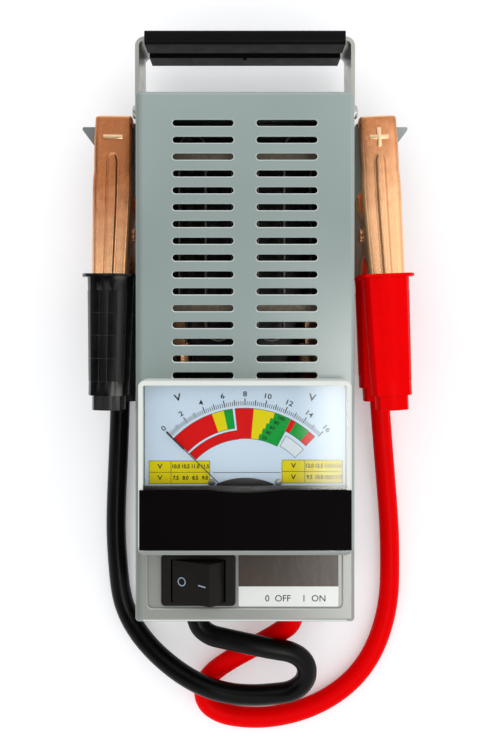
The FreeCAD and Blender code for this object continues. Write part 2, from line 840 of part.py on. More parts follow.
def support_posts():
    made = []
    for x in (-post_x, post_x):
        for y in (bar_top_y, bar_low_y):
            post = rod(x, y, sheet, 3.5, bar_z0 - sheet, (0, 0, 1))
            post = post.cut(rod(x, y, 0, 1.6, 10, (0, 0, 1)))
            made.append(post.fuse(rod(x, y, bar_z0 - 2, 1.6, 8, (0, 0, 1))).removeSplitter())
    return made


def post_screws():
    made = []
    for x in (-post_x, post_x):
        for y in (bar_top_y, bar_low_y):
            head = Part.makeCone(3.5, 2.35, 1.1, V(x, y, 0.05), V(0, 0, 1))
            stem = rod(x, y, 0.6, 1.5, 8.0, (0, 0, 1))
            slot = box(x - 4, x + 4, y - 0.4, y + 0.4, -0.5, 0.65)
            made.append(head.fuse(stem).cut(slot).removeSplitter())
    return made


def load_ribbon():
    t = ribbon_thickness / 2
    r = ribbon_pitch / 2
    parts = []
    for i, x in enumerate(run_x):
        low = lug_low + 4.0 if i in (0, 5) else turn_low
        parts.append(box(x - t, x + t, low, turn_high, ribbon_z0, ribbon_z1))
    for i in range(5):
        cx = (run_x[i] + run_x[i + 1]) / 2
        top = i % 2 == 0
        cy = turn_high if top else turn_low
        bow = rod(cx, cy, ribbon_z0, r + t, ribbon_width, (0, 0, 1))
        bow = bow.cut(rod(cx, cy, ribbon_z0 - 1, r - t, ribbon_width + 2, (0, 0, 1)))
        y0 = cy if top else cy - 2 * r
        parts.append(bow.common(box(cx - 2 * r, cx + 2 * r, y0, y0 + 2 * r, ribbon_z0 - 1, ribbon_z1 + 1)))
    return joined(parts)


def load_lug(x):
    sleeve = box(x - 3.0, x + 3.0, lug_low, lug_high, ribbon_z0 - 1.2, ribbon_z1 + 1.2)
    gap = ribbon_thickness / 2 + 0.1
    slit = box(x - gap, x + gap, lug_low + 3.5, lug_high + 1, ribbon_z0 - 0.1, ribbon_z1 + 0.1)
    barrel = rod(x, barrel_low, lead_z, lead_radius + 0.9, 14.5, (0, 1, 0))
    return sleeve.fuse(barrel).removeSplitter().cut(slit)


def grommet(x):
    """Rubber bush in the end wall with a short tapered nose."""
    neck = rod(x, y_low - 0.5, gland_z, gland_hole, sheet + 1.0, (0, 1, 0))
    outer = rod(x, y_low - 3.0, gland_z, gland_hole + 2.0, 3.0, (0, 1, 0))
    nose_start = V(x, y_low - gland_nose, gland_z)
    nose = Part.makeCone(lead_radius + 1.6, gland_hole + 1.0, gland_nose - 2.5, nose_start, V(0, 1, 0))
    inner = rod(x, y_low + sheet, gland_z, gland_hole + 2.0, 3.0, (0, 1, 0))
    whole = joined([neck, outer, nose, inner])
    return whole.cut(rod(x, y_low - 10, gland_z, lead_radius + slip, 20, (0, 1, 0)))


nose_y = y_low - gland_nose


def red_inner_lead():
    x1 = run_x[5]
    y1 = barrel_low
    span = y1 - nose_y
    points = [
        V(gland_x, nose_y, gland_z),
        V(gland_x, nose_y + 0.25 * span, lead_z),
        V(x1, nose_y + 0.62 * span, lead_z),
        V(x1, y1, lead_z),
    ]
    return tube(points, lead_radius)[0]


common_edge = switch_y - blade_half
lug_depth = 5.0
black_lug_y = common_edge - lug_depth


def black_inner_lead():
    return rod(-gland_x, nose_y, gland_z, lead_radius, black_lug_y - nose_y, (0, 1, 0))


def black_lug():
    x0 = -gland_x - 2.4
    x1 = switch_x + blade_thick / 2 + 1.2
    return box(x0, x1, black_lug_y, common_edge, gland_z - 4.0, gland_z + 4.0)


def switch_lug():
    x = contact_x
    low = switch_y + blade_half
    return box(x - 3.5, x + 3.5, low, low + lug_depth, lead_z - 4.0, lead_z + 4.0)


def switch_lead():
    x0 = run_x[0]
    x1 = contact_x
    y0 = barrel_low
    y1 = switch_y + blade_half + lug_depth
    points = [
        V(x0, y0, lead_z),
        V(x0, y0 + 0.3 * (y1 - y0), lead_z),
        V(x1, y0 + 0.66 * (y1 - y0), lead_z),
        V(x1, y1, lead_z),
    ]
    return tube(points, lead_radius - 1.0)[0]


def red_meter_wire():
    y = stud_y
    x1 = run_x[5]
    z = body_floor - 9.5
    points = [
        V(stud_x, y + 2.0, z),
        V(stud_x, y + 16.0, z),
        V(x1 - lead_radius - 4.0, barrel_low - 8.0, z - 6.0),
        V(x1 - lead_radius - 2.2, barrel_low + 8.0, z - 6.0),
    ]
    return tube(points, 1.1)[0]


def black_meter_wire():
    y = stud_y
    z = body_floor - 9.5
    points = [
        V(-stud_x, y - 2.0, z),
        V(-stud_x, y - 20.0, z),
        V(switch_x + 3.0, common_edge + 16.0, z - 1.0),
        V(switch_x + 1.7, common_edge + 5.0, z - 1.0),
    ]
    return tube(points, 1.1)[0]


# Battery clamps. Built with the pivot at the origin, the jaw along +Y and the bite plane at Z = 0.
jaw_tip = 61.8
handle_end = -82.0
sleeve_start = -22.0
sleeve_end = -84.0
nub_end = -91.5
web_line = [
    (61.8, 11.4), (50.0, 12.3), (30.0, 13.5), (12.0, 15.2),
    (-8.0, 18.2), (-22.0, 20.4), (-50.0, 24.3), (-84.0, 28.6),
]
web_at_start = 20.4
web_at_end = 28.6
nub_radius = lead_radius + 2.1
nub_width = 18.2
bead_end = -24.5
nub_z = web_at_end - 6.7
lower_width = clamp_width - 2 * clamp_sheet - 2 * apart
clamp_y = y_high - 68.7
clamp_z = split_height - sheet / 2
clamp_x = {-1: -half_width - black_clamp_out, 1: half_width + red_clamp_out}
clamp_yaw = {-1: -black_yaw_deg, 1: red_yaw_deg}
bite_gap = sheet / 2 + apart


def web_edge(x, lift):
    curve = Part.BSplineCurve()
    curve.interpolate([V(x, y, z + lift) for y, z in web_line])
    return curve.toShape()


def web_end(x, lift, index):
    y, z = web_line[index]
    return V(x, y, z + lift)


def cheek_edge(x):
    """Lower edge of a side cheek from the jaw tip to the handle end: teeth, eye, pivot lug, handle."""
    tooth = 2.4
    points = [V(x, jaw_tip, bite_gap + 1.6)]
    for i in range(8):
        points.append(V(x, jaw_tip - 2.0 - tooth * i, bite_gap))
        points.append(V(x, jaw_tip - 2.0 - tooth * (i + 0.5), bite_gap + 1.3))
    edges = [Part.makeLine(points[i], points[i + 1]) for i in range(len(points) - 1)]
    eye_start = points[-1]
    eye_end = V(x, 9.0, 3.0)
    edges.append(Part.Arc(eye_start, V(x, (eye_start.y + eye_end.y) / 2, 9.0), eye_end).toShape())
    lug_front = V(x, 6.6, -1.5)
    lug_back = V(x, -6.6, -1.5)
    edges.append(Part.makeLine(eye_end, lug_front))
    edges.append(Part.Arc(lug_front, V(x, 0, -6.6), lug_back).toShape())
    rest = [lug_back, V(x, -12.0, 6.0), V(x, sleeve_start, web_at_start - 8.0), V(x, -84.0, web_at_end - 8.5)]
    edges += [Part.makeLine(rest[i], rest[i + 1]) for i in range(len(rest) - 1)]
    return edges, points[0], rest[-1]


def channel(width):
    """Stamped channel: a web on top, two side cheeks and a closed tip."""
    half = width / 2
    edges, first, last = cheek_edge(-half)
    loop = [web_edge(-half, 0.0), Part.makeLine(web_end(-half, 0.0, -1), last)]
    loop += edges[::-1] + [Part.makeLine(first, web_end(-half, 0.0, 0))]
    outer = Part.Face(Part.Wire(Part.__sortEdges__(loop))).extrude(V(width, 0, 0))
    crown = []
    for e in outer.Edges:
        a = e.Vertexes[0].Point
        b = e.Vertexes[-1].Point
        along = abs(a.x - b.x) < 1e-6 and abs(abs(a.y - b.y) - (jaw_tip + 84.0)) < 0.01
        across = abs(a.x - b.x) > 1 and a.y > jaw_tip - 0.01 and a.z > 11.0
        if along or across:
            crown.append(e)
    outer = outer.makeFillet(1.9, crown)
    inside = half - clamp_sheet
    line = [(jaw_tip - clamp_sheet, web_line[0][1])] + web_line[1:-1] + [(-86.0, web_at_end + 0.25)]
    curve = Part.BSplineCurve()
    curve.interpolate([V(-inside, y, z - clamp_sheet) for y, z in line])
    top_front = V(-inside, line[0][0], line[0][1] - clamp_sheet)
    top_back = V(-inside, line[-1][0], line[-1][1] - clamp_sheet)
    low_back = V(-inside, -86.0, -12.0)
    low_front = V(-inside, line[0][0], -12.0)
    loop = [
        curve.toShape(), Part.makeLine(top_back, low_back),
        Part.makeLine(low_back, low_front), Part.makeLine(low_front, top_front),
    ]
    inner = Part.Face(Part.Wire(loop)).extrude(V(2 * inside, 0, 0))
    return outer.cut(inner).common(box(-half - 1, half + 1, handle_end, jaw_tip + 1, -20, 60))


def bead():
    """Pressed rib along the middle of the web, rounded at both ends."""
    outline = Part.Face(slot_wire(0, 0, 66.0, 5.0, 0)).extrude(V(0, 0, 60))
    outline.rotate(V(0, 0, 0), V(0, 0, 1), 90)
    outline.translate(V(0, bead_end + 33.0, 0))
    loop = [
        web_edge(-4.0, 0.9), Part.makeLine(web_end(-4.0, 0.9, -1), web_end(-4.0, -0.6, -1)),
        web_edge(-4.0, -0.6), Part.makeLine(web_end(-4.0, -0.6, 0), web_end(-4.0, 0.9, 0)),
    ]
    slab = Part.Face(Part.Wire(Part.__sortEdges__(loop))).extrude(V(8.0, 0, 0))
    return slab.common(outline)


def clamp_jaw(width, hole, bars):
    added = [bead()]
    if bars > 0:
        added.append(box(-5.2, 5.2, 48.7, 51.3, 11.6, 12.95))
    if bars > 1:
        added.append(box(-1.3, 1.3, 44.8, 55.2, 11.6, 12.95))
    return joined([channel(width)] + added).cut(rod(-20, 0, 0, hole, 40, (1, 0, 0)))


def sleeve_section(y, width, height, middle):
    wire = rounded_wire(-width / 2, width / 2, middle - height / 2, middle + height / 2, 0.36 * height, 0)
    wire.rotate(V(0, 0, 0), V(1, 0, 0), 90)
    wire.translate(V(0, y, 0))
    return wire


def clamp_sleeve(channel_width):
    front_mid = web_at_start + 2.0 - sleeve_height / 2
    back_mid = web_at_end + 2.0 - sleeve_height / 2
    front = sleeve_section(sleeve_start, sleeve_width, sleeve_height, front_mid)
    back = sleeve_section(sleeve_end, sleeve_width - 2.0, sleeve_height, back_mid)
    outer = Part.makeLoft([front, back], True, True)
    rim = sleeve_section(sleeve_start - 3.0, sleeve_width + 4.5, sleeve_height + 2.6, front_mid)
    lip = Part.Face(rim).extrude(V(0, 3.0, 0))
    nub = Part.Face(slot_wire(0, nub_z, nub_width, 2 * nub_radius, 0))
    nub.rotate(V(0, 0, 0), V(1, 0, 0), 90)
    nub.translate(V(0, nub_end, 0))
    nub = nub.extrude(V(0, sleeve_end - nub_end + 0.5, 0))
    half = channel_width / 2 + 0.3
    room = [
        V(-half, sleeve_start + 1, web_at_start + 0.2),
        V(-half, handle_end - 0.4, web_at_end + 0.15),
        V(-half, handle_end - 0.4, web_at_end - 8.7),
        V(-half, sleeve_start + 1, web_at_start - 8.6),
    ]
    cavity = Part.Face(closed(room)).extrude(V(2 * half, 0, 0))
    bore = rod(0, nub_end - 1, nub_z, lead_radius - 0.8, 17.5, (0, 1, 0))
    bead_room = box(-2.8, 2.8, bead_end - 0.7, sleeve_start + 1, web_at_start - 2, web_at_start + 1.8)
    return joined([outer, lip, nub]).cut([cavity, bore, bead_room])


def pivot_pin():
    half = clamp_width / 2
    parts = [rod(-half - apart - 0.5, 0, 0, pin_radius, 2 * (half + apart + 0.5), (1, 0, 0))]
    for side in (-1, 1):
        head = rod(side * (half + apart), 0, 0, pin_radius + 1.6, 1.3, (side, 0, 0))
        rim = [e for e in head.Edges if abs(e.CenterOfMass.x - side * (half + apart + 1.3)) < 1e-6]
        parts.append(head.makeFillet(0.8, rim))
    return joined(parts)


def torsion_spring():
    """Coil round the pivot pin; each end leans out along the inside of a handle."""
    lean = 34.0
    radius = pin_radius + 1.9
    wire = 0.8
    leg = 24.0
    turns = 3.5 - 2 * lean / 360.0
    pitch = 2 * wire + 0.3
    steps = 40
    points = [V(radius, -leg, 0), V(radius, -0.6 * leg, 0), V(radius, -0.25 * leg, 0)]
    for i in range(steps + 1):
        angle = 2 * math.pi * turns * i / steps
        points.append(V(radius * math.cos(angle), radius * math.sin(angle), pitch * turns * i / steps))
    away = V(-math.sin(angle), math.cos(angle), 0)
    points += [points[-1].add(away * (part * leg)) for part in (0.25, 0.6, 1.0)]
    path = Part.BSplineCurve()
    path.interpolate(points)
    section = Part.Wire(Part.makeCircle(wire, points[0], V(0, 1, 0)))
    spring = Part.Wire([path.toShape()]).makePipeShell([section], True, False)
    spring.translate(V(0, 0, -pitch * turns / 2))
    spring.rotate(V(0, 0, 0), V(0, 1, 0), -90)
    spring.rotate(V(0, 0, 0), V(1, 0, 0), -lean)
    return spring


def crimp():
    """Bared end of the lead with its crimped copper sleeve."""
    return rod(0, nub_end, nub_z, lead_radius - 1.1, 15.5, (0, 1, 0))


def placed(shape, side, flip):
    copy = shape.copy()
    if flip:
        copy = copy.mirror(V(0, 0, 0), V(0, 0, 1))
    copy.rotate(V(0, 0, 0), V(0, 0, 1), clamp_yaw[side])
    copy.translate(V(clamp_x[side], clamp_y, clamp_z))
    return copy


def lead_end(side):
    a = math.radians(clamp_yaw[side])
    return V(clamp_x[side] - nub_end * math.sin(a), clamp_y + nub_end * math.cos(a), clamp_z - nub_z)


# Test leads. Each loop point is (across, below the case's bottom edge, height of the centre line).
lying = lead_radius + 0.2
black_loop = [
    (-27.2, 14.4, 24.5), (-20.7, 21.2, 25.5), (-10.5, 23.2, 26.5), (2.5, 25.6, 27.5), (15.0, 28.2, 27.5),
    (26.3, 30.2, 26.5), (34.0, 37.0, 25.0), (34.0, 47.2, 23.0), (26.6, 54.4, 21.3), (15.5, 56.2, 20.5),
    (3.5, 56.9, 20.5), (-8.5, 56.0, 20.5), (-20.0, 53.0, 20.5), (-31.0, 48.4, 19.0), (-41.5, 42.6, 16.0),
    (-51.2, 35.8, 12.5), (-59.8, 27.6, 9.3), (-66.6, 17.8, 7.0), (-70.9, 6.4, lying),
]
red_loop = [
    (27.2, 15.6, 21.5), (19.8, 23.2, 16.5), (10.6, 29.8, 13.2), (0.6, 36.4, 10.4), (-9.6, 43.2, 7.8),
    (-18.5, 50.0, 6.2), (-24.6, 58.4, lying), (-22.5, 68.6, lying), (-13.5, 74.2, lying), (-2.5, 76.2, lying),
    (10.5, 76.6, lying), (24.0, 74.6, lying), (37.0, 70.6, lying), (49.0, 64.6, lying), (60.0, 56.4, lying),
    (69.0, 46.0, lying), (75.5, 34.0, lying), (80.0, 20.4, lying), (82.6, 5.6, lying),
]


def lead_route(side, loop, bulge):
    scale = case_width / 110.0
    points = [V(side * gland_x, nose_y, gland_z)]
    for x, below, z in loop:
        points.append(V(x * scale, y_low - below, z))
    last = points[-1]
    end = lead_end(side)
    span = end.y - last.y
    for part, out, rise in ((0.16, 0.62, 0.0), (0.34, 1.0, 0.0), (0.54, 0.8, 0.1), (0.77, 0.32, 0.65)):
        x = last.x + (end.x - last.x) * part + side * bulge * out
        points.append(V(x, last.y + span * part, lying + (end.z - lying) * rise))
    points.append(end)
    return points


def lead(name, side, loop, bulge):
    solid, length, radii = tube(lead_route(side, loop, bulge), lead_radius)
    section = math.pi * lead_radius ** 2 * length
    print(name, "lead", round(length, 1), "long, least radius", round(min(radii), 1))
    print(name, "lead volume over section times length", round(solid.Volume / section, 4))
    return solid


def save(name, shape):
    if isinstance(shape, list):
        shape = Part.makeCompound(shape)
    shape.exportStep("parts/" + name + ".step")
    print(name, "valid" if shape.isValid() else "NOT VALID", len(shape.Solids), round(shape.Volume, 1))


save("front_cover", front_cover())
save("rear_cover", rear_cover())
save("cover_screws", cover_screws())
save("handle_strap", handle_strap())
save("handle_grip", handle_grip())
save("handle_screws", handle_screws())
save("handle_nuts", handle_nuts())
save("panel_label", panel_label())

save("meter_cover", meter_cover())
save("meter_mask", meter_mask())
save("movement_shelf", movement_shelf())
save("movement_cap", movement_cap())
save("dial_plate", dial_plate())
save("dial_screws", dial_screws())
save("meter_body", meter_body())
save("meter_studs", meter_studs())
save("meter_bracket", meter_bracket())
save("meter_nuts", meter_nuts())
save("movement_frame", movement_frame())
save("magnet_yoke", magnet_yoke())
save("iron_core", iron_core())
save("upper_bridge", upper_bridge())
save("hair_spring", hair_spring())
save("moving_coil", moving_coil())
save("needle", needle())

save("switch_housing", switch_housing())
save("switch_rocker", switch_rocker())
save("rocker_plunger", rocker_plunger())
save("plunger_spring", plunger_spring())
save("contact_bar", contact_bar())
save("common_terminal", common_terminal())
save("contact_terminal", contact_terminal())

save("load_bars", [load_bar(bar_top_y), load_bar(bar_low_y)])
save("support_posts", support_posts())
save("post_screws", post_screws())
save("load_ribbon", load_ribbon())
save("load_lugs", [load_lug(run_x[0]), load_lug(run_x[5])])
save("switch_lead", switch_lead())
save("switch_lugs", [switch_lug(), black_lug()])
save("black_inner_lead", black_inner_lead())
save("red_inner_lead", red_inner_lead())
save("black_meter_wire", black_meter_wire())
save("red_meter_wire", red_meter_wire())
save("lead_grommets", [grommet(-gland_x), grommet(gland_x)])

for colour, side, bars in (("black", -1, 1), ("red", 1, 2)):
    upper = clamp_jaw(clamp_width, pin_radius + running, bars)
    lower = clamp_jaw(lower_width, pin_radius + 0.03, 0)
    save(colour + "_upper_jaw", placed(upper, side, False))
    save(colour + "_lower_jaw", placed(lower, side, True))
    save(colour + "_upper_sleeve", placed(clamp_sleeve(clamp_width), side, False))
    save(colour + "_lower_sleeve", placed(clamp_sleeve(lower_width), side, True))
    save(colour + "_pivot_pin", placed(pivot_pin(), side, False))
    save(colour + "_clamp_spring", placed(torsion_spring(), side, False))
    save(colour + "_crimp", placed(crimp(), side, True))

save("black_lead", lead("black", -1, black_loop, 3.2))
save("red_lead", lead("red", 1, red_loop, 2.2))
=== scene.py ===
# %% [markdown]
# # A battery load tester, dressed for its portrait
# The tester lies on its back. Its steel case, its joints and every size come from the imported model, which
# is loaded first and never moved. This lesson gives each surface its finish and models what a drawing in
# solids leaves plain: the moulded grips of the clamps, the print on the dial, and the two test leads.

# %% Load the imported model
import json
import math
from functools import partial
import bmesh
import bpy
from mathutils import Matrix, Vector


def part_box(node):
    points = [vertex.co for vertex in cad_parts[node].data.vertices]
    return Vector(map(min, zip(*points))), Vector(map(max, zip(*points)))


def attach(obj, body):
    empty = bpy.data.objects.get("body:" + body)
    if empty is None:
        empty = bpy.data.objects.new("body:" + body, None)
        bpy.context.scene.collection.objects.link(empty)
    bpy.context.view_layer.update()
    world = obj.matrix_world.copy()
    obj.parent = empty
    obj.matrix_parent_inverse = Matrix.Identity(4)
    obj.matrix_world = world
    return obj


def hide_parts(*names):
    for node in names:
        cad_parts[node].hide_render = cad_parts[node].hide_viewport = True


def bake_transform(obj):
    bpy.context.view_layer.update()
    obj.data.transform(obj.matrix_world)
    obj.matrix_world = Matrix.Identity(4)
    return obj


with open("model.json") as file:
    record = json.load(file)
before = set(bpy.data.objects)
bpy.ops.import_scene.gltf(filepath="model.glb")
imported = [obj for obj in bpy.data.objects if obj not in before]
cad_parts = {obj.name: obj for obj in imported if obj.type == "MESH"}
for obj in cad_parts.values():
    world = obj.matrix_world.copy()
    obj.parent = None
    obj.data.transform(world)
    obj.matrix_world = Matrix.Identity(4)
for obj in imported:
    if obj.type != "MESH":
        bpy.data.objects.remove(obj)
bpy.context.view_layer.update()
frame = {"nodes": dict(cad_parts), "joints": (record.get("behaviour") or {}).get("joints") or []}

MM = 0.001
NODES = frame["nodes"]
JOINTS = {joint["name"]: joint for joint in frame["joints"]}
ROOT = "case"
scene = bpy.context.scene


def mm(*sizes):
    """Sizes in millimetres as metres, which Blender works in."""
    return tuple(size * MM for size in sizes)


def assign(thing, **values):
    """Sets several attributes of one thing."""
    for name, value in values.items():
        setattr(thing, name, value)
    return thing


# %% [markdown]
# ## The camera
# The photograph was taken from straight above, so close that the raised clamps look larger than the case
# under them. A camera 464 mm above the floor with a focal length of 800 picture elements gives the same
# spread, and a small shift of the lens, as on a view camera, puts the picture's centre where it was.

# %% Camera
CAMERA_PLACE = mm(0.0, 2.15, 464.0)
FOCAL_PX = 800.0
LONG_SIDE_PX = 750.0
SENSOR_MM = 36.0
SHIFT_PX = (5.0, -57.0)

bpy.ops.object.camera_add(location=CAMERA_PLACE, rotation=(0.0, 0.0, 0.0))
camera = bpy.context.object
camera.data.sensor_width = SENSOR_MM
camera.data.lens = SENSOR_MM * FOCAL_PX / LONG_SIDE_PX
camera.data.shift_x, camera.data.shift_y = (shift / LONG_SIDE_PX for shift in SHIFT_PX)
camera.data.clip_start = 0.01
scene.camera = camera
scene.view_settings.view_transform = "Standard"
print("lens", round(camera.data.lens, 2), "mm")

# %% [markdown]
# ## Colours and nodes
# Colours are written as sRGB hex values, as they are picked on a screen, and one function turns them into
# the linear light that shaders work in. A second small function adds a shader node and fills or links its
# sockets. A finish is then a short pattern: a function that adds its nodes and returns the last one.

# %% Helpers for finishes


def linear(code, alpha=1.0):
    """An sRGB hex colour as linear red, green, blue and alpha."""
    shares = [int(code[i:i + 2], 16) / 255.0 for i in (1, 3, 5)]
    return [s / 12.92 if s <= 0.04045 else ((s + 0.055) / 1.055) ** 2.4 for s in shares] + [alpha]


def shade(owner, kind, sockets=None, **settings):
    """Adds one node; a socket takes a constant, an output, or a node, which gives its first live output."""
    node = assign(owner.node_tree.nodes.new("ShaderNode" + kind), **settings)
    for name, value in (sockets or {}).items():
        if isinstance(value, bpy.types.Node):
            value = next(output for output in value.outputs if output.enabled)
        if isinstance(value, bpy.types.NodeSocket):
            owner.node_tree.links.new(value, node.inputs[name])
        else:
            node.inputs[name].default_value = value
    return node


def finish(name, pattern):
    """A new material; its pattern is given a way to add nodes, and the Object coordinates."""
    material = bpy.data.materials.new(name)
    material.use_nodes = True
    material.node_tree.nodes.clear()
    add = partial(shade, material)
    add("OutputMaterial", {"Surface": pattern(add, add("TexCoord").outputs["Object"])})
    return material


NOISE_SPAN = {"From Min": 0.3, "From Max": 0.7}


def per_metre(size_mm):
    """Noise scale at which one grain is about this many millimetres."""
    return 1000.0 / size_mm


def surfaced(name, pale, dark, grain_mm, rough, change, bump_mm=0.0, bump_grain_mm=0.3, **sockets):
    """A finish whose colour drifts between two shades, with matching changes of gloss and a fine relief."""
    def pattern(add, place):
        drift = add("TexNoise", {"Vector": place, "Scale": per_metre(grain_mm), "Detail": 4.0})
        colour = add("Mix", {0: drift, 6: linear(pale), 7: linear(dark)}, data_type="RGBA")
        span = {"Value": drift, **NOISE_SPAN, "To Min": rough - change, "To Max": rough + change}
        look = {"Base Color": colour, "Roughness": add("MapRange", span), **sockets}
        if bump_mm > 0.0:
            grain = add("TexNoise", {"Vector": place, "Scale": per_metre(bump_grain_mm), "Detail": 2.0})
            look["Normal"] = add("Bump", {"Height": grain, "Distance": bump_mm * MM})
        return add("BsdfPrincipled", look)

    return finish(name, pattern)


def dress(piece, material):
    piece.data.materials.clear()
    piece.data.materials.append(material)


def wear(material, names):
    """Puts a finish on CAD nodes."""
    for name in names.split():
        dress(NODES[name], material)
    print(material.name, "on", names)
    return material


# %% [markdown]
# ## The test leads
# Each lead is a stranded copper core in soft PVC, 11 mm thick, which the photograph shows from end to end.
# A curve with one smooth spline is the right tool: the control points are the places that the lead passes,
# and the bevel gives it its thickness. The loops cross, so one lead rides over the other.

# %% Leads
LEAD_DIAMETER = 11.0 * MM
LEAD_RADIUS = LEAD_DIAMETER / 2
LYING = LEAD_RADIUS + 0.2 * MM
CASE_LOW_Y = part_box("rear_cover")[0].y
NOSE_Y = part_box("lead_grommets")[0].y
GLAND_X, GLAND_Z = mm(27.5, 24.0)
NUB_END, NUB_Z, NUB_DEEP = mm(-91.5, 21.9, 8.4)
BLACK_LOOP_MM = [
    (-27.2, 14.4, 24.5), (-20.7, 21.2, 25.5), (-10.5, 23.2, 26.5), (2.5, 25.6, 27.5), (15.0, 28.2, 27.5),
    (26.3, 30.2, 26.5), (34.0, 37.0, 25.0), (34.0, 47.2, 23.0), (26.6, 54.4, 21.3), (15.5, 56.2, 20.5),
    (3.5, 56.9, 20.5), (-8.5, 56.0, 20.5), (-20.0, 53.0, 20.5), (-31.0, 48.4, 19.0), (-41.5, 42.6, 16.0),
    (-51.2, 35.8, 12.5), (-59.8, 27.6, 9.3), (-66.6, 17.8, 7.0), (-70.9, 6.4, 5.7),
]
RED_LOOP_MM = [
    (27.2, 15.6, 21.5), (19.8, 23.2, 16.5), (10.6, 29.8, 13.2), (0.6, 36.4, 10.4), (-9.6, 43.2, 7.8),
    (-18.5, 50.0, 6.2), (-24.6, 58.4, 5.7), (-22.5, 68.6, 5.7), (-13.5, 74.2, 5.7), (-2.5, 76.2, 5.7),
    (10.5, 76.6, 5.7), (24.0, 74.6, 5.7), (37.0, 70.6, 5.7), (49.0, 64.6, 5.7), (60.0, 56.4, 5.7),
    (69.0, 46.0, 5.7), (75.5, 34.0, 5.7), (80.0, 20.4, 5.7), (82.6, 5.6, 5.7),
]
# On the way up to the clamp: the part of the way, the share of the bulge, and the share of the rise.
CLIMB = ((0.16, 0.62, 0.0), (0.34, 1.0, 0.0), (0.54, 0.8, 0.1), (0.77, 0.32, 0.65))
# For each lead: its side, its loop, how far it bulges beside the case, and its length in metres.
LEADS = {"black": (-1, BLACK_LOOP_MM, 3.2 * MM, 0.336), "red": (1, RED_LOOP_MM, 2.2 * MM, 0.355)}


def clamp_place(colour):
    """Where a clamp sits: its pivot, and the turn that its pivot pin gives away."""
    squeeze = JOINTS[colour + "_clamp_squeeze"]
    pin = Vector(squeeze["axis"])
    return Matrix.Translation(squeeze["pos_m"]) @ Matrix.Rotation(math.atan2(pin.y, pin.x), 4, "Z")


def lead_route(colour, side, loop, bulge):
    """The control points: out of the gland, round the loop, then up along the case to the clamp."""
    points = [Vector((side * GLAND_X, NOSE_Y, GLAND_Z))]
    points += [Vector((x * MM, CASE_LOW_Y - below * MM, z * MM)) for x, below, z in loop]
    last = points[-1]
    end = clamp_place(colour) @ Vector((0.0, NUB_END, -NUB_Z))
    for part, out, rise in CLIMB:
        x = last.x + (end.x - last.x) * part + side * bulge * out
        y = last.y + (end.y - last.y) * part
        points.append(Vector((x, y, LYING + (end.z - LYING) * rise)))
    return points + [end, clamp_place(colour) @ Vector((0.0, NUB_END + NUB_DEEP, -NUB_Z))]


def lead(colour, side, loop, bulge, length):
    route = lead_route(colour, side, loop, bulge)
    curve = bpy.data.curves.new(colour + "_lead_cord", "CURVE")
    spline = curve.splines.new("NURBS")
    spline.points.add(len(route) - 1)
    for point, place in zip(spline.points, route):
        assign(point, co=(*place, 1.0), radius=LEAD_RADIUS)
    assign(spline, order_u=3, use_endpoint_u=True, resolution_u=8)
    assign(curve, dimensions="3D", bevel_depth=1.0, bevel_resolution=8, use_fill_caps=True)
    cord = bpy.data.objects.new(colour + "_lead_cord", curve)
    scene.collection.objects.link(cord)
    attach(cord, ROOT)
    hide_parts(colour + "_lead")
    print(colour, "lead spline", round(spline.calc_length(), 4), "of", length, "m")
    return cord


CORDS = {colour: lead(colour, *row) for colour, row in LEADS.items()}

# %% [markdown]
# ## Floor and light
# The photograph was taken in a light tent: white paper, white walls, and dark cloth overhead and on the
# left, which keeps the black plastic black. A large soft box stands to the lower right, so the paint and
# the clear cover brighten towards that side. The cloths and the box are only mirrored, so the shadow stays
# even all round, and three smaller lamps give the clamps their gleam. The paper is lifted to white for the
# rays that are seen, and it still keeps the shadow of the tester. In the narrow cracks between the case and
# the clamps the photograph is dark, so there shade is painted into the paper: its colour is darker and its
# lift is taken away.

# %% Floor and walls
FLOOR_SIZE = 6.0
FLOOR_DROP = 0.2 * MM
PAPER_LIFT = 0.23
WALL_LIGHT = 1.05
CRACK_X, CRACK_FADE = mm(67.5, 6.0)


def fresh(primitive, **options):
    """A new piece from a primitive, made with nothing else selected."""
    bpy.ops.object.select_all(action="DESELECT")
    primitive(**options)
    return bpy.context.object


def seen_rays(add):
    """One for rays that reach the eye: straight, off metal, or through glass."""
    path = add("LightPath").outputs
    seen = path["Is Camera Ray"]
    for kind in ("Is Glossy Ray", "Is Transmission Ray"):
        seen = add("Math", {0: seen, 1: path[kind]}, operation="MAXIMUM")
    return seen


def white_paper(add, place):
    """Backdrop paper gives an even white with no shine and shows the shadow; painted shade darkens it in the
    cracks.
    """
    fibre = add("TexNoise", {"Vector": place, "Scale": per_metre(40.0), "Detail": 3.0})
    tone = add("Mix", {0: fibre, 6: linear("#efefef"), 7: linear("#ebebeb")}, data_type="RGBA")
    spot = add("SeparateXYZ", {"Vector": place}).outputs
    across = add("Math", {0: spot["X"]}, operation="ABSOLUTE")
    low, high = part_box("red_upper_sleeve")[1].y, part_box("red_upper_jaw")[1].y
    # Painted shade: in the cracks beside the case the paper turns darker and loses its lift.
    clear = 0.0
    for value, shut, fade in (
        (across, CRACK_X, CRACK_FADE), (spot["Y"], low, -CRACK_FADE), (spot["Y"], high, CRACK_FADE)
    ):
        away = add("MapRange", {"Value": value, "From Min": shut, "From Max": shut + fade})
        clear = add("Math", {0: clear, 1: away}, operation="MAXIMUM")
    lift = add("Math", {0: seen_rays(add), 1: PAPER_LIFT}, operation="MULTIPLY")
    lift = add("Math", {0: lift, 1: clear}, operation="MULTIPLY")
    paper_with_painted_shade = add("Mix", {0: clear, 6: linear("#857a72"), 7: tone}, data_type="RGBA")
    sheet = add("BsdfDiffuse", {"Color": paper_with_painted_shade})
    return add("AddShader", {0: sheet, 1: add("Emission", {"Strength": lift})})


floor = fresh(bpy.ops.mesh.primitive_plane_add, size=FLOOR_SIZE, location=(0.0, 0.0, -FLOOR_DROP))
floor.name = "studio_floor"
dress(floor, finish("matt_white_paper", white_paper))

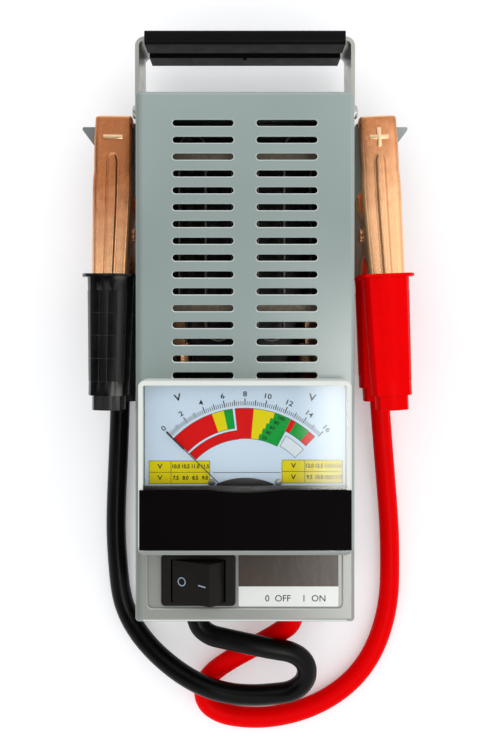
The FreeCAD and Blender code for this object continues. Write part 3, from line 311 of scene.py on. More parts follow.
world = bpy.data.worlds.new("white_tent")
world.use_nodes = True
scene.world = world
world.node_tree.nodes.clear()
hang = partial(shade, world)
shown = hang("Background", {"Color": linear("#ffffff"), "Strength": 1.0})
walls = hang("Background", {"Color": linear("#fbfcff"), "Strength": WALL_LIGHT})
hang("OutputWorld", {"Surface": hang("MixShader", {0: seen_rays(hang), 1: walls, 2: shown})})
print("paper lift", PAPER_LIFT, "wall light", WALL_LIGHT)

# %% Dark cloths, soft box and lamps
CLOTH_HEIGHT = 1.45
LAMP_HEIGHT = 0.95
LAMPS = (
    ("soft_box", "soft_box_diffuser", (0.235, -0.28), (0.33, 0.78), 6.6),
    ("left_side_lamp", "left_lamp_diffuser", (-0.3, 0.3), (0.3, 0.3), 1.4),
    ("right_side_lamp", "right_lamp_diffuser", (0.33, 0.38), (0.36, 0.42), 1.05),
    ("grip_lamp", "grip_lamp_diffuser", (0.33, 0.24), (0.26, 0.22), 1.6),
)


def panel(name, centre, size, material):
    """A rectangle of the studio that lights or darkens the tester without being in the picture."""
    card = fresh(bpy.ops.mesh.primitive_plane_add, size=1.0, location=centre)
    assign(card, name=name, scale=(*size, 1.0), rotation_euler=(math.pi, 0.0, 0.0))
    assign(card, visible_camera=False, visible_shadow=False)
    dress(card, material)
    return card


def fading(add, place, hard):
    """One in the middle of a panel, falling smoothly to nothing at its edges."""
    spot = add("SeparateXYZ", {"Vector": place}).outputs
    inward = []
    for axis in ("X", "Y"):
        away = add("Math", {0: spot[axis]}, operation="ABSOLUTE")
        span = {"Value": away, "From Min": hard / 2, "From Max": 0.5, "To Min": 1.0, "To Max": 0.0}
        inward.append(add("MapRange", span, interpolation_type="SMOOTHSTEP"))
    return add("Math", {0: inward[0], 1: inward[1]}, operation="MULTIPLY")


def dark_opening(add, place):
    """Velvet round the camera's opening gives glossy things a dark place to reflect."""
    cloth = add("BsdfDiffuse", {"Color": linear("#060606")})
    return add("MixShader", {0: fading(add, place, 0.5), 1: add("BsdfTransparent"), 2: cloth})


def lamp_cloth(light):
    """Diffuser cloth gives a glow that is brightest in the middle."""
    def pattern(add, place):
        level = add("Math", {0: fading(add, place, 0.45), 1: light}, operation="MULTIPLY")
        glow = add("Emission", {"Color": linear("#fffdf8"), "Strength": level})
        return add("AddShader", {0: glow, 1: add("BsdfTransparent")})

    return pattern


velvet = finish("black_velvet_opening", dark_opening)
cards = [
    panel("dark_opening", (-0.16, -0.02, CLOTH_HEIGHT), (1.7, 1.7), velvet),
    panel("dark_left_side", (-1.6, -0.02, CLOTH_HEIGHT), (2.2, 2.2), velvet),
]
for name, cloth, spot, size, light in LAMPS:
    cards.append(panel(name, (*spot, LAMP_HEIGHT), size, finish(cloth, lamp_cloth(light))))
# The two cloths and the soft box are only mirrored.
for card in cards[:3]:
    card.visible_diffuse = False
print("panels over the tester:", len(cards))

# %% [markdown]
# ## Sheet steel: enamel outside, painted shade inside
# The two halves of the case are folded steel sheet, sprayed with a grey-green enamel. Spray leaves a fine
# orange-peel ripple and a half gloss. A pale painted highlight runs along the punched edges of the slots,
# stronger on their lower edges, and most of all along the lower fold. A painted reflection turns the panel
# round the switch a warmer, duller grey, and painted shade darkens the left fold. The insides stay dark: by
# its place, the same material switches to painted shade, near black, inside the walls.

# %% Case enamel
WALL, EDGE_DEEP, HIGHLIGHT_INSET, FOLD_WIDE, LEFT_SHADE_WIDE = mm(1.25, 0.5, 4.0, 1.5, 4.0)
WARM_REFLECTION_Y, WARM_REFLECTION_FADE = mm(-110.0, 6.0)
# How strong the painted highlight is on punched edges and on the lower fold.
HIGHLIGHT_LEAST, HIGHLIGHT_MOST, FOLD_HIGHLIGHT, FLAT = 0.12, 0.75, 0.55, 0.93
PEEL_MM = 0.9
PEEL_HEIGHT = 0.012 * MM


def where(add, value, tests):
    """A value that lasts only where every comparison holds."""
    for measure, limit, compare in tests:
        test = add("Math", {0: measure, 1: limit}, operation=compare)
        value = add("Math", {0: value, 1: test}, operation="MULTIPLY")
    return value


def case_enamel(add, place):
    """Sprayed enamel gives a grey-green half gloss with a fine ripple; on it lie painted highlights along punched
    edges, a painted reflection low down, and painted shade on the left fold and inside.
    """
    low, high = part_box("front_cover")
    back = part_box("rear_cover")[0].z
    spot = add("SeparateXYZ", {"Vector": place}).outputs
    facing = add("SeparateXYZ", {"Vector": add("NewGeometry").outputs["Normal"]}).outputs
    across = add("Math", {0: spot["X"]}, operation="ABSOLUTE")
    # Painted shade: near black inside the walls.
    inside = where(add, 1.0, (
        (across, high.x - WALL, "LESS_THAN"),
        (spot["Y"], low.y + WALL, "GREATER_THAN"), (spot["Y"], high.y - WALL, "LESS_THAN"),
        (spot["Z"], back + 0.9 * WALL, "GREATER_THAN"), (spot["Z"], high.z - 2.2 * WALL, "LESS_THAN"),
    ))
    # Painted highlight along punched edges, stronger on lower edges and on the lower fold.
    span = {"Value": facing["Y"], "From Min": -0.7, "From Max": 0.7, "To Min": HIGHLIGHT_LEAST, "To Max": HIGHLIGHT_MOST}
    edge = add("MapRange", span)
    bottom = add("Math", {0: spot["Y"], 1: low.y + FOLD_WIDE}, operation="LESS_THAN")
    edge = add("Math", {0: bottom, 1: FOLD_HIGHLIGHT, 2: edge}, operation="MULTIPLY_ADD")
    edge_painted_highlight = where(add, edge, (
        (spot["Z"], high.z - EDGE_DEEP, "GREATER_THAN"), (facing["Z"], FLAT, "LESS_THAN"),
        (across, high.x - HIGHLIGHT_INSET, "LESS_THAN"), (spot["Y"], high.y - HIGHLIGHT_INSET, "LESS_THAN"),
    ))
    # Painted reflection: a warmer, duller grey below the meter. Painted shade along the left fold.
    warm_painted_reflection = add("MapRange", {"Value": spot["Y"], "From Min": WARM_REFLECTION_Y, "From Max": WARM_REFLECTION_Y - WARM_REFLECTION_FADE})
    left_painted_shade = add("MapRange", {"Value": spot["X"], "From Min": low.x + LEFT_SHADE_WIDE, "From Max": low.x})
    drift = add("TexNoise", {"Vector": place, "Scale": per_metre(70.0), "Detail": 3.0})
    colour = add("Mix", {0: drift, 6: linear("#8b9894"), 7: linear("#99a8a3")}, data_type="RGBA")
    for share, code in ((warm_painted_reflection, "#8d8f88"), (left_painted_shade, "#646e6a"), (edge_painted_highlight, "#f2f7f4"), (inside, "#17181a")):
        colour = add("Mix", {0: share, 6: colour, 7: linear(code)}, data_type="RGBA")
    peel = add("TexNoise", {"Vector": place, "Scale": per_metre(PEEL_MM), "Detail": 1.5})
    ripple = add("Bump", {"Height": peel, "Distance": PEEL_HEIGHT})
    gloss = add("MapRange", {"Value": drift, **NOISE_SPAN, "To Min": 0.19, "To Max": 0.24})
    look = {"Base Color": colour, "Roughness": gloss, "Specular IOR Level": 0.9, "Normal": ripple}
    return add("BsdfPrincipled", look)


wear(finish("grey_green_enamel", case_enamel), "front_cover rear_cover")

# %% [markdown]
# ## Metals
# The strap and the screws are zinc plated: a pale, slightly patchy satin. The meter's studs are brass. The
# clamp jaws are steel with a copper flash, tumbled, so they have a fine grain that scatters the light. The
# load ribbon is nichrome, darkened by heat.

# %% Metal finishes
BRIGHT_Y, DULL_Y, CLOUD, PEBBLE_HEIGHT = mm(42.0, 92.0, 30.0, 0.05)
# Painted shade: how much darker the black clamp, on the left, is made.
BLACK_SIDE = -0.25


def copper_plate(add, place):
    """Copper on steel, bright near the grips and darker towards the tips, a painted reflection, darker still on
    the black clamp, painted shade, with paler specks of painted glint and a painted highlight on slopes that
    face the tip."""
    spot = add("SeparateXYZ", {"Vector": place}).outputs
    facing = add("SeparateXYZ", {"Vector": add("NewGeometry").outputs["Normal"]}).outputs
    drift = add("TexNoise", {"Vector": place, "Scale": per_metre(6.0), "Detail": 4.0})
    pebble = add("TexNoise", {"Vector": place, "Scale": per_metre(0.6), "Detail": 2.0})
    cloud = add("Math", {0: drift, 1: CLOUD, 2: -CLOUD / 2}, operation="MULTIPLY_ADD")
    shade_reach = add("Math", {0: spot["X"], 1: BLACK_SIDE, 2: spot["Y"]}, operation="MULTIPLY_ADD")
    darkening_place = add("Math", {0: shade_reach, 1: cloud}, operation="ADD")
    # Painted reflection and shade: darker towards the tips, and more so on the black clamp.
    tip_painted_darkening = add("MapRange", {"Value": darkening_place, "From Min": BRIGHT_Y, "From Max": DULL_Y})
    # Painted glints in the grain, and a painted highlight on slopes that face the tip.
    glint = add("MapRange", {"Value": pebble, "From Min": 0.45, "From Max": 0.75, "To Max": 0.22})
    tip_facing_painted_highlight = add("MapRange", {"Value": facing["Y"], "From Min": 0.16, "From Max": 0.5, "To Max": 0.8})
    colour = add("Mix", {0: tip_painted_darkening, 6: linear("#f7bb8b"), 7: linear("#bc7346")}, data_type="RGBA")
    for share, code in ((glint, "#ffd9b2"), (tip_facing_painted_highlight, "#ffd2a4")):
        colour = add("Mix", {0: share, 6: colour, 7: linear(code)}, data_type="RGBA")
    relief = add("Bump", {"Height": pebble, "Distance": PEBBLE_HEIGHT})
    gloss = add("MapRange", {"Value": drift, "To Min": 0.2, "To Max": 0.3})
    return add("BsdfPrincipled", {"Base Color": colour, "Roughness": gloss, "Metallic": 1.0, "Normal": relief})


# Zinc plate gives a pale satin that is a little patchy.
wear(surfaced("bright_zinc_plate", "#c9cac4", "#aeb0aa", 9.0, 0.36, 0.06, 0.004, 0.5, Metallic=1.0),
     "handle_strap handle_screws handle_nuts cover_screws support_posts post_screws meter_bracket")
# Turned brass gives a warm yellow gleam.
wear(surfaced("turned_brass", "#c9a766", "#a5854a", 4.0, 0.32, 0.05, Metallic=1.0),
     "meter_studs meter_nuts upper_bridge hair_spring rocker_plunger common_terminal contact_terminal")
# Nichrome that has glowed is a dull brown-grey with blotches.
wear(surfaced("heat_darkened_nichrome", "#8f8a84", "#5d5852", 6.0, 0.38, 0.08, Metallic=1.0), "load_ribbon")
# Blackened iron gives almost nothing back.
wear(surfaced("blackened_iron", "#3b3b3c", "#2a2a2b", 5.0, 0.55, 0.08, Metallic=1.0), "magnet_yoke iron_core")
# Drawn wire gives a sharp grey streak along its round.
wear(surfaced("drawn_spring_wire", "#b8b8b6", "#9a9a98", 3.0, 0.3, 0.05, Metallic=1.0),
     "black_clamp_spring red_clamp_spring plunger_spring dial_screws")
copper = wear(finish("tumbled_copper_plate", copper_plate),
              "black_upper_jaw black_lower_jaw red_upper_jaw red_lower_jaw black_crimp red_crimp "
              "black_pivot_pin red_pivot_pin load_lugs switch_lugs moving_coil contact_bar")
# On the raised marks the copper is paler than the tumbled copper round it: partly polished by wear, partly a
# painted highlight.
polished_and_highlit_copper = surfaced("polished_and_highlit_copper_plate", "#ffdcb4", "#f6c898", 2.0, 0.34, 0.05, Metallic=1.0)

# %% [markdown]
# ## Plastics, rubber and board
# The grip is a polypropylene moulding with a fine spark-eroded grain, the switch is nylon, and the dark bar
# across the meter is a matt black film. The leads and the grips of the clamps are soft PVC: a skin with a
# broad highlight. The bars that carry the load ribbon are pressed mica, which glitters.

# %% Plastic finishes
DEAD, DULL, SATIN, GLOSSY = ({"Specular IOR Level": level} for level in (0.02, 0.06, 0.12, 0.34))
# Spark-eroded grain turns the black of the carrying grip to a soft charcoal.
wear(surfaced("spark_grained_polypropylene", "#0b0b0c", "#111112", 8.0, 0.42, 0.05, 0.02, 0.45, **DULL),
     "handle_grip")
# Nylon gives a warm black with a slight sheen on its slopes.
wear(surfaced("moulded_nylon", "#14120f", "#1a1714", 6.0, 0.4, 0.05, 0.012, 0.4, **SATIN),
     "switch_housing switch_rocker")
# Matt film swallows the light, so the bar across the meter reads as a black field.
wear(surfaced("matt_black_film", "#060405", "#090607", 20.0, 0.5, 0.05, **DEAD), "meter_mask")
# Polystyrene gives an even grey.
wear(surfaced("grey_polystyrene", "#b9bcbc", "#adb0b0", 8.0, 0.45, 0.05), "meter_body movement_frame")
# Phenolic gives a brown-black with a soft shine.
dark_moulding = wear(surfaced("dark_phenolic_moulding", "#2a2726", "#332e2c", 6.0, 0.4, 0.05),
                     "movement_shelf movement_cap needle")
# Soft PVC gives a deep colour and a broad highlight along the lead.
black_pvc = wear(surfaced("black_soft_pvc", "#030303", "#060606", 12.0, 0.3, 0.04, 0.006, 0.8, **SATIN),
                 "lead_grommets switch_lead black_inner_lead black_meter_wire black_upper_sleeve "
                 "black_lower_sleeve")
# The moulded grips come glossier from the tool, so their facets show.
grip_pvc = surfaced("black_glossy_pvc", "#040404", "#070707", 12.0, 0.24, 0.04, 0.006, 0.8, **GLOSSY)
# The red compound is saturated and hides its highlight in its colour.
red_pvc = wear(surfaced("red_soft_pvc", "#e60002", "#f20003", 12.0, 0.33, 0.04, 0.006, 0.8, **DEAD),
               "red_upper_sleeve red_lower_sleeve")
# Inside the case the red wire is painted a dim dark red: painted shade.
wear(surfaced("shade_darkened_red_pvc", "#52060a", "#3c0407", 9.0, 0.5, 0.05, **SATIN), "red_inner_lead red_meter_wire")
# Mica board glitters in brown flakes.
wear(surfaced("pressed_mica_board", "#b3a48e", "#6e6254", 1.6, 0.42, 0.12, 0.03, 1.2, Metallic=0.35), "load_bars")
# Dial enamel gives a cool white with no shine of its own under the pane.
wear(surfaced("printed_dial_enamel", "#e2effc", "#dbe9f8", 30.0, 0.5, 0.04, **SATIN), "dial_plate")
dress(CORDS["black"], black_pvc)
dress(CORDS["red"], red_pvc)

# %% [markdown]
# ## The clear cover
# The cover is moulded acrylic: a clear pane in front and a lightly frosted rim. A glass shader stops the
# light of the lamps, so the dial under it would go dark, and it would also light the dial twice from the
# walls; letting shadow rays and the dial's own scattered rays pass straight through avoids both.

# %% Acrylic finishes
COVER_LOW, COVER_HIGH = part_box("meter_cover")
LIP_TOP, LIP_DARK = mm(5.0, 1.5)


def clear_acrylic(add, place):
    """Polished acrylic gives the eye the dial behind it and one soft reflection of the room."""
    look = {"Base Color": linear("#fbfdfd"), "Roughness": 0.02, "IOR": 1.49, "Transmission Weight": 1.0}
    surface = add("BsdfPrincipled", look)
    passing = add("BsdfTransparent", {"Color": linear("#f6f8f8")})
    path = add("LightPath").outputs
    for kind in ("Is Diffuse Ray", "Is Shadow Ray"):
        surface = add("MixShader", {0: path[kind], 1: surface, 2: passing})
    return surface


def frosted_acrylic(add, place):
    """Frosted walls scatter the light; the lower lip is painted a darker grey, painted shade
    for the dark panel behind it.
    """
    y, low = add("SeparateXYZ", {"Vector": place}).outputs["Y"], COVER_LOW.y
    # Painted shade: the lower lip turns a darker grey.
    lip_painted_shade = add("MapRange", {"Value": y, "From Min": low + LIP_TOP, "From Max": low + LIP_DARK})
    colour = add("Mix", {0: lip_painted_shade, 6: linear("#dfe2db"), 7: linear("#8d918c")}, data_type="RGBA")
    return add("BsdfPrincipled", {"Base Color": colour, "Roughness": 0.3, "Specular IOR Level": 0.25})


pane_acrylic = wear(finish("clear_moulded_acrylic", clear_acrylic), "meter_cover")
rim_acrylic = finish("frosted_acrylic_edge", frosted_acrylic)

# %% [markdown]
# ## The label
# A film label sits beside the switch. Its upper part is a dark brown field and its lower part is white; the
# change is one straight edge, so a single comparison on the height across the panel draws it.

# %% Label film
LABEL_EDGE_Y, WRINKLE_HEIGHT = mm(-132.4, 0.05)


def label_film(add, place):
    """Printed polyester film gives a brown and a white field under one smooth, slightly waved gloss."""
    y = add("SeparateXYZ", {"Vector": place}).outputs["Y"]
    dark = add("Math", {0: y, 1: LABEL_EDGE_Y}, operation="GREATER_THAN")
    drift = add("TexNoise", {"Vector": place, "Scale": per_metre(14.0), "Detail": 3.0})
    field = add("Mix", {0: drift, 6: linear("#40362f"), 7: linear("#4a4038")}, data_type="RGBA")
    colour = add("Mix", {0: dark, 6: linear("#e3e5e0"), 7: field}, data_type="RGBA")
    wrinkle = add("TexNoise", {"Vector": place, "Scale": per_metre(5.0), "Detail": 1.0})
    relief = add("Bump", {"Height": wrinkle, "Distance": WRINKLE_HEIGHT})
    look = {"Base Color": colour, "Roughness": 0.2, "Specular IOR Level": 0.32, "Normal": relief}
    return add("BsdfPrincipled", look)


wear(finish("two_tone_label_film", label_film), "panel_label")

# %% [markdown]
# ## Modelling by hand, in code
# An operator works on whatever is selected. A few helpers keep that under control: they select one piece,
# pick its faces, edges or corners by where they are, start a piece from a flat primitive, extend or thicken
# it, and close it by applying its place, dressing it and telling it which body carries it.

# %% Helpers for modelling
NEAR = 0.01 * MM
ORIGIN = (0.0, 0.0, 0.0)
UPRIGHT = (math.pi / 2, 0.0, 0.0)


def only(*pieces):
    """Leaves edit mode and selects these pieces and nothing else, with the first one active."""
    if bpy.context.mode != "OBJECT":
        bpy.ops.object.mode_set(mode="OBJECT")
    bpy.ops.object.select_all(action="DESELECT")
    for piece in pieces:
        piece.select_set(True)
    bpy.context.view_layer.objects.active = pieces[0]


def pick(piece, test=None, kind="FACE"):
    """Edit mode, with only those faces, edges or corners selected whose middle passes the test, if any."""
    bpy.context.view_layer.objects.active = piece
    bpy.ops.object.mode_set(mode="EDIT")
    bpy.ops.mesh.select_mode(type=kind)
    bpy.ops.mesh.select_all(action="DESELECT")
    shape = bmesh.from_edit_mesh(piece.data)
    for part in {"FACE": shape.faces, "EDGE": shape.edges, "VERT": shape.verts}[kind]:
        corners = [part] if kind == "VERT" else part.verts
        middle = sum((c.co for c in corners), Vector()) / len(corners)
        part.select_set(test is None or bool(test(middle)))
    shape.select_flush_mode()
    bmesh.update_edit_mesh(piece.data)


def fit(piece, size, centre, kind="FACE"):
    """Takes a unit piece to its size and its place, and leaves all of it selected."""
    pick(piece, kind=kind)
    bpy.ops.transform.resize(value=size)
    bpy.ops.transform.translate(value=centre)


def face_out(piece):
    """Turns every face outwards."""
    pick(piece)
    bpy.ops.mesh.normals_make_consistent(inside=False)
    only(piece)


def flat_start(wide, deep, centre=(0.0, 0.0)):
    """A rectangle in the XY plane, in millimetres, ready in edit mode with all of it selected."""
    piece = fresh(bpy.ops.mesh.primitive_plane_add, size=1.0)
    fit(piece, (wide * MM, deep * MM, 1.0), mm(*centre, 0.0))
    return piece


def widen(share, centre=ORIGIN):
    """Rescales what is selected across X."""
    bpy.ops.transform.resize(value=(share, 1.0, 1.0), center_override=centre)


def extend(*step):
    """Extrudes what is selected by a step in millimetres."""
    bpy.ops.mesh.extrude_region_move(TRANSFORM_OT_translate={"value": mm(*step)})


def raise_all(piece, height):
    """Gives a flat piece its thickness, in millimetres."""
    pick(piece)
    extend(0.0, 0.0, height)
    face_out(piece)


def modify(piece, kind, **settings):
    """Adds a modifier and applies it."""
    only(piece)
    assign(piece.modifiers.new(kind, kind), **settings)
    bpy.ops.object.modifier_apply(modifier=kind)


def smooth(angle):
    bpy.ops.object.shade_smooth_by_angle(angle=math.radians(angle))


def soften(piece, width, angle):
    """Rounds the edges that are sharper than an angle and smooths the rest."""
    limit = math.radians(angle)
    modify(piece, "BEVEL", width=width * MM, segments=2, limit_method="ANGLE", angle_limit=limit)
    smooth(38.0)


def put(piece, place, turn=0.0, tilt=0.0, lean=0.0):
    """Moves a piece, turned clockwise, tilted and leaning by degrees, and keeps that in its mesh."""
    only(piece)
    piece.rotation_euler = (math.radians(lean), math.radians(tilt), -math.radians(turn))
    piece.location = place
    bpy.ops.object.transform_apply()
    return piece


def settle(pieces, name, body, material):
    """Joins pieces into one, dresses it and makes it ride on a body."""
    only(*pieces)
    bpy.ops.object.join()
    whole = bpy.context.object
    whole.name = name
    dress(whole, material)
    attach(whole, body)
    print(name, "faces:", len(whole.data.polygons))
    return whole


def refinish(piece, material, test):
    """Gives the faces that pass a test a second finish."""
    piece.data.materials.append(material)
    pick(piece, test)
    piece.active_material_index = 1
    bpy.ops.object.material_slot_assign()
    only(piece)


# %% [markdown]
# ## The meter's cover
# The cover is one moulding, but its walls were left frosted by the mould and its pane was polished, so the
# two need finishes of their own. A cube is taken to the size of the drawn cover, its corners are rounded, its
# open back is removed and Solidify gives the wall. An inset on the front marks off the pane.

# %% Meter cover
COVER_MIDDLE = (COVER_LOW + COVER_HIGH) / 2
COVER_CORNER, COVER_EDGE, COVER_WALL, PANE_INSET = mm(3.0, 1.2, 2.0, 1.2)
PANE_BACK = COVER_HIGH.z - COVER_WALL - 0.1 * MM


def cover_shell():
    cover = fresh(bpy.ops.mesh.primitive_cube_add, size=1.0)
    fit(cover, COVER_HIGH - COVER_LOW, COVER_MIDDLE)
    pick(cover, lambda spot: abs(spot.z - COVER_MIDDLE.z) < MM and abs(spot.x) > COVER_HIGH.x - NEAR, "EDGE")
    bpy.ops.mesh.bevel(offset=COVER_CORNER, segments=4)
    pick(cover, lambda spot: spot.z > COVER_HIGH.z - NEAR, "EDGE")
    bpy.ops.mesh.bevel(offset=COVER_EDGE, segments=3)
    pick(cover, lambda spot: spot.z < COVER_LOW.z + NEAR)
    bpy.ops.mesh.delete(type="FACE")
    pick(cover, lambda spot: spot.z > COVER_HIGH.z - NEAR)
    bpy.ops.mesh.inset(thickness=PANE_INSET)
    modify(cover, "SOLIDIFY", thickness=COVER_WALL, offset=-1.0, use_even_offset=True)
    smooth(40.0)
    return cover


def frosted(spot):
    """Every face but the pane's two sides."""
    return spot.z < PANE_BACK or (spot - COVER_MIDDLE).xy.length > 5.0 * MM


meter_shell = settle([cover_shell()], "meter_shell", ROOT, pane_acrylic)
refinish(meter_shell, rim_acrylic, frosted)
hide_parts("meter_cover")

# %% [markdown]
# ## The clamps' moulded grips
# Each handle of a clamp has a dipped PVC grip: a flanged mouth, a tapering barrel with a grid of fine
# grooves, and a short nub where the lead goes in. The mould was a stretched oval from end to end, so a
# circle is squared a little with a Cast modifier and extruded from station to station, which leaves one ring
# of faces for each row of the grid. Insetting the faces by pairs draws the grooves. The other three grips
# are copies, and each tapers a little more on the side that faces away from the case.

# %% Clamp grips
GRIP_RING = 32
GRIP_FRONT, GRIP_BACK = -22.0, -84.0
GRIP_LOW, GRIP_CLIMB = 14.4, 8.2
FLANGE_BACK = -23.6
FLANGE, BARREL, NUB_ROOT, NUB_TIP = (29.4, 18.6), (24.0, 16.0), (18.2, 14.8), (18.0, 14.4)
TAPER, TAPER_START = 2.0, -25.0
HOLLOWS = ((NUB_END, 2.4, 9.0), (GRIP_FRONT * MM, 4.4, -12.0))
GRIP_SHARE = 0.985
GRIP_INNER = {"black": 12.0 * MM, "red": -12.0 * MM}
GRIP_ROWS = (-30.5, -42.1, -53.7, -65.3, -76.9)
GROOVE, GROOVE_DEPTH = mm(0.18, 0.16)
ROW_SLACK, TURN_SLACK = 0.5, 0.01
HALVES = (("black", True), ("red", False), ("red", True), ("black", False))


def grip_middle(y):
    """Height of the grip's centre line, which rises along the handle."""
    return GRIP_LOW + GRIP_CLIMB * (GRIP_FRONT - y) / (GRIP_FRONT - GRIP_BACK)


def grip_stations():
    """Each ring of the grip: place along the handle, width, height and height of its centre."""
    rings = [(GRIP_FRONT, *FLANGE), (FLANGE_BACK, *FLANGE), (FLANGE_BACK, *BARREL)]
    for y in GRIP_ROWS + (GRIP_BACK,):
        rings.append((y, BARREL[0] - TAPER * (TAPER_START - y) / (TAPER_START - GRIP_BACK), BARREL[1]))
    nub = [(GRIP_BACK, *NUB_ROOT, NUB_Z / MM), (NUB_END / MM, *NUB_TIP, NUB_Z / MM)]
    return [(*ring, grip_middle(ring[0])) for ring in rings] + nub


def clamp_grip():
    grip = fresh(bpy.ops.mesh.primitive_circle_add, vertices=GRIP_RING, radius=1.0, rotation=UPRIGHT)
    bpy.ops.object.transform_apply()
    modify(grip, "CAST", cast_type="CUBOID", factor=0.28, use_y=False)
    stations = grip_stations()
    y, wide, high, middle = stations[0]
    fit(grip, (wide / 2 * MM, 1.0, high / 2 * MM), mm(0.0, y, middle), "EDGE")
    for to_y, to_wide, to_high, to_middle in stations[1:]:
        extend(0.0, to_y - y, to_middle - middle)
        share = (to_wide / wide, 1.0, to_high / high)
        bpy.ops.transform.resize(value=share, center_override=mm(0.0, to_y, to_middle))
        y, wide, high, middle = to_y, to_wide, to_high, to_middle
    for end, rim, deep in HOLLOWS:
        pick(grip, lambda spot: abs(spot.y - end) < NEAR, "EDGE")
        bpy.ops.mesh.edge_face_add()
        bpy.ops.mesh.inset(thickness=rim * MM)
        extend(0.0, deep, 0.0)
    face_out(grip)
    return grip


def bearing(spot):
    """Which way a spot on the grip lies from the centre line."""
    return math.atan2((spot.z / MM - grip_middle(spot.y / MM)) * BARREL[0] / BARREL[1], spot.x / MM)


def groove(grip):
    """Draws the grid: each pair of faces in a row is inset as one panel."""
    for back, front in zip(GRIP_ROWS[1:], GRIP_ROWS):
        def in_row(spot):
            return abs(spot.y / MM - (back + front) / 2) < ROW_SLACK

        ring = sorted(bearing(face.center) for face in grip.data.polygons if in_row(face.center))
        for first, last in zip(ring[0::2], ring[1::2]):
            pick(grip, lambda spot: in_row(spot) and first - TURN_SLACK < bearing(spot) < last + TURN_SLACK)
            bpy.ops.mesh.inset(thickness=GROOVE, depth=GROOVE_DEPTH)


def four_of(first):
    """Each half of each clamp with a piece for it: three copies with meshes of their own, then the first."""
    for colour, lower in HALVES:
        only(first)
        if (colour, lower) != HALVES[-1]:
            bpy.ops.object.duplicate(linked=False)
        body = ROOT if lower else colour + "_clamp_arm"
        yield bpy.context.object, colour, lower, colour + ("_lower" if lower else "_upper"), body


def mirror(piece, share=1.0):
    """Makes a lower half of an upper one."""
    piece.scale = (share, 1.0, -1.0)
    bpy.ops.object.transform_apply()
    face_out(piece)


def to_clamp(piece, colour):
    """Takes a piece to its clamp."""
    only(piece)
    piece.matrix_world = clamp_place(colour)
    bpy.ops.object.transform_apply()


first_grip = clamp_grip()
groove(first_grip)
soften(first_grip, 0.35, 60.0)
CLAMPS = {"black": [], "red": []}
for grip, colour, lower, name, body in four_of(first_grip):
    if lower:
        mirror(grip)
    for y in GRIP_ROWS:
        pick(grip, lambda spot: spot.y < (y + 1.0) * MM, "VERT")
        widen(GRIP_SHARE, (GRIP_INNER[colour], 0.0, 0.0))
    to_clamp(grip, colour)
    skin = grip_pvc if colour == "black" else red_pvc
    grip = settle([grip], name + "_grip", body, skin)
    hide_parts(name + "_sleeve")
    CLAMPS[colour].append(grip)

# %% [markdown]
# ## The clamps' jaws
# The jaws are stamped from steel strip: a channel with a round crown, a closed tip, toothed cheeks and a
# long rib pressed up along the middle to stiffen it. The channel's outline, an arch, is drawn once and
# extruded from station to station. Then the lower edge of each cheek is pulled to its teeth, its eye and its
# pivot lug, the rib is inset and raised, and Solidify gives the strip its thickness. The lower jaws are
# mirror copies, narrower at the pivot, where their lugs turn inside the upper ones, and flared to the same
# width before and behind it.

# %% Clamp jaws
JAW_TIP = 61.8
JAW_SHEET, TIP_ROUND = mm(1.2, 1.2)
JAW_CROWN = 2.2
JAW_DEEP = 8.0
CHEEK_HALF = 9.6
BITE = 0.93
LIP_START, LIP_RISE = 60.0, 1.6
TEETH_START, TEETH_END, TOOTH, TOOTH_RISE = 59.8, 41.9, 1.2, 1.3
TOOTH_ROWS = 15
RIB_HALF, RIB_HEAD, RIB_END = 2.75, 0.62, 41.8
RIB_INSETS = ((0.25, 0.0), (0.75, 1.2), (0.25, 0.0))
LOWER_SHARE = 0.785
FLARE_ROWS = (9.0, 10.0, 11.0, 12.0, 13.0, 14.0)
MARK_Y, MARK_REACH, MARK_SUNK, MARK_LEAN = 50.0, 5.5, 0.35, -4.0
ACROSS, LENGTHWISE = (10.4, 2.5, 1.1), (2.5, 10.4, 1.2)
POLES = {"black": (ACROSS,), "red": (ACROSS, LENGTHWISE)}
JAW_CREST = ((61.8, 11.4), (50.0, 12.3), (30.0, 13.5), (12.0, 15.2), (-8.0, 18.2), (-22.0, 20.4), (-50.0, 24.3),
             (-82.0, 28.3))
JAW_HALVES = ((61.8, 9.7), (57.0, 9.9), (50.0, 10.2), (36.0, 10.1), (33.0, 9.9), (28.0, 10.4), (20.0, 10.4),
              (5.0, 10.0), (-8.0, 9.6), (-20.0, 9.2), (-30.0, 9.0), (-82.0, 7.0))
CHEEK_LOW = ((41.8, 2.23), (38.0, 4.4), (34.0, 6.9), (30.0, 8.3), (25.4, 9.0), (20.0, 8.2), (14.0, 6.0),
             (9.0, 3.0), (6.6, -1.5), (4.6, -4.6), (2.4, -6.1), (0.0, -6.6), (-2.4, -6.1), (-4.6, -4.6),
             (-6.6, -1.5), (-12.0, 6.0), (-22.0, 12.4), (-82.0, 19.9))
MORE_ROWS = (36.0, 32.0, 28.0, 23.0, 17.0, 11.5, -9.0, -17.0, -25.0, -32.0, -50.0)


def along(line, y):
    """A value read from points along the jaw, straight between them."""
    for (y0, v0), (y1, v1) in zip(line, line[1:]):
        if y >= y1:
            return v0 + (v1 - v0) * (y0 - y) / (y0 - y1)
    return line[-1][1]


def cheek_low(y):
    """Height of a cheek's lower edge: eight teeth at the tip, then the eye, the pivot lug and the handle."""
    if y > LIP_START:
        return BITE + LIP_RISE
    if y > TEETH_END:
        return BITE + (TOOTH_RISE if round((TEETH_START - y) / TOOTH) % 2 else 0.0)
    return along(CHEEK_LOW, y)


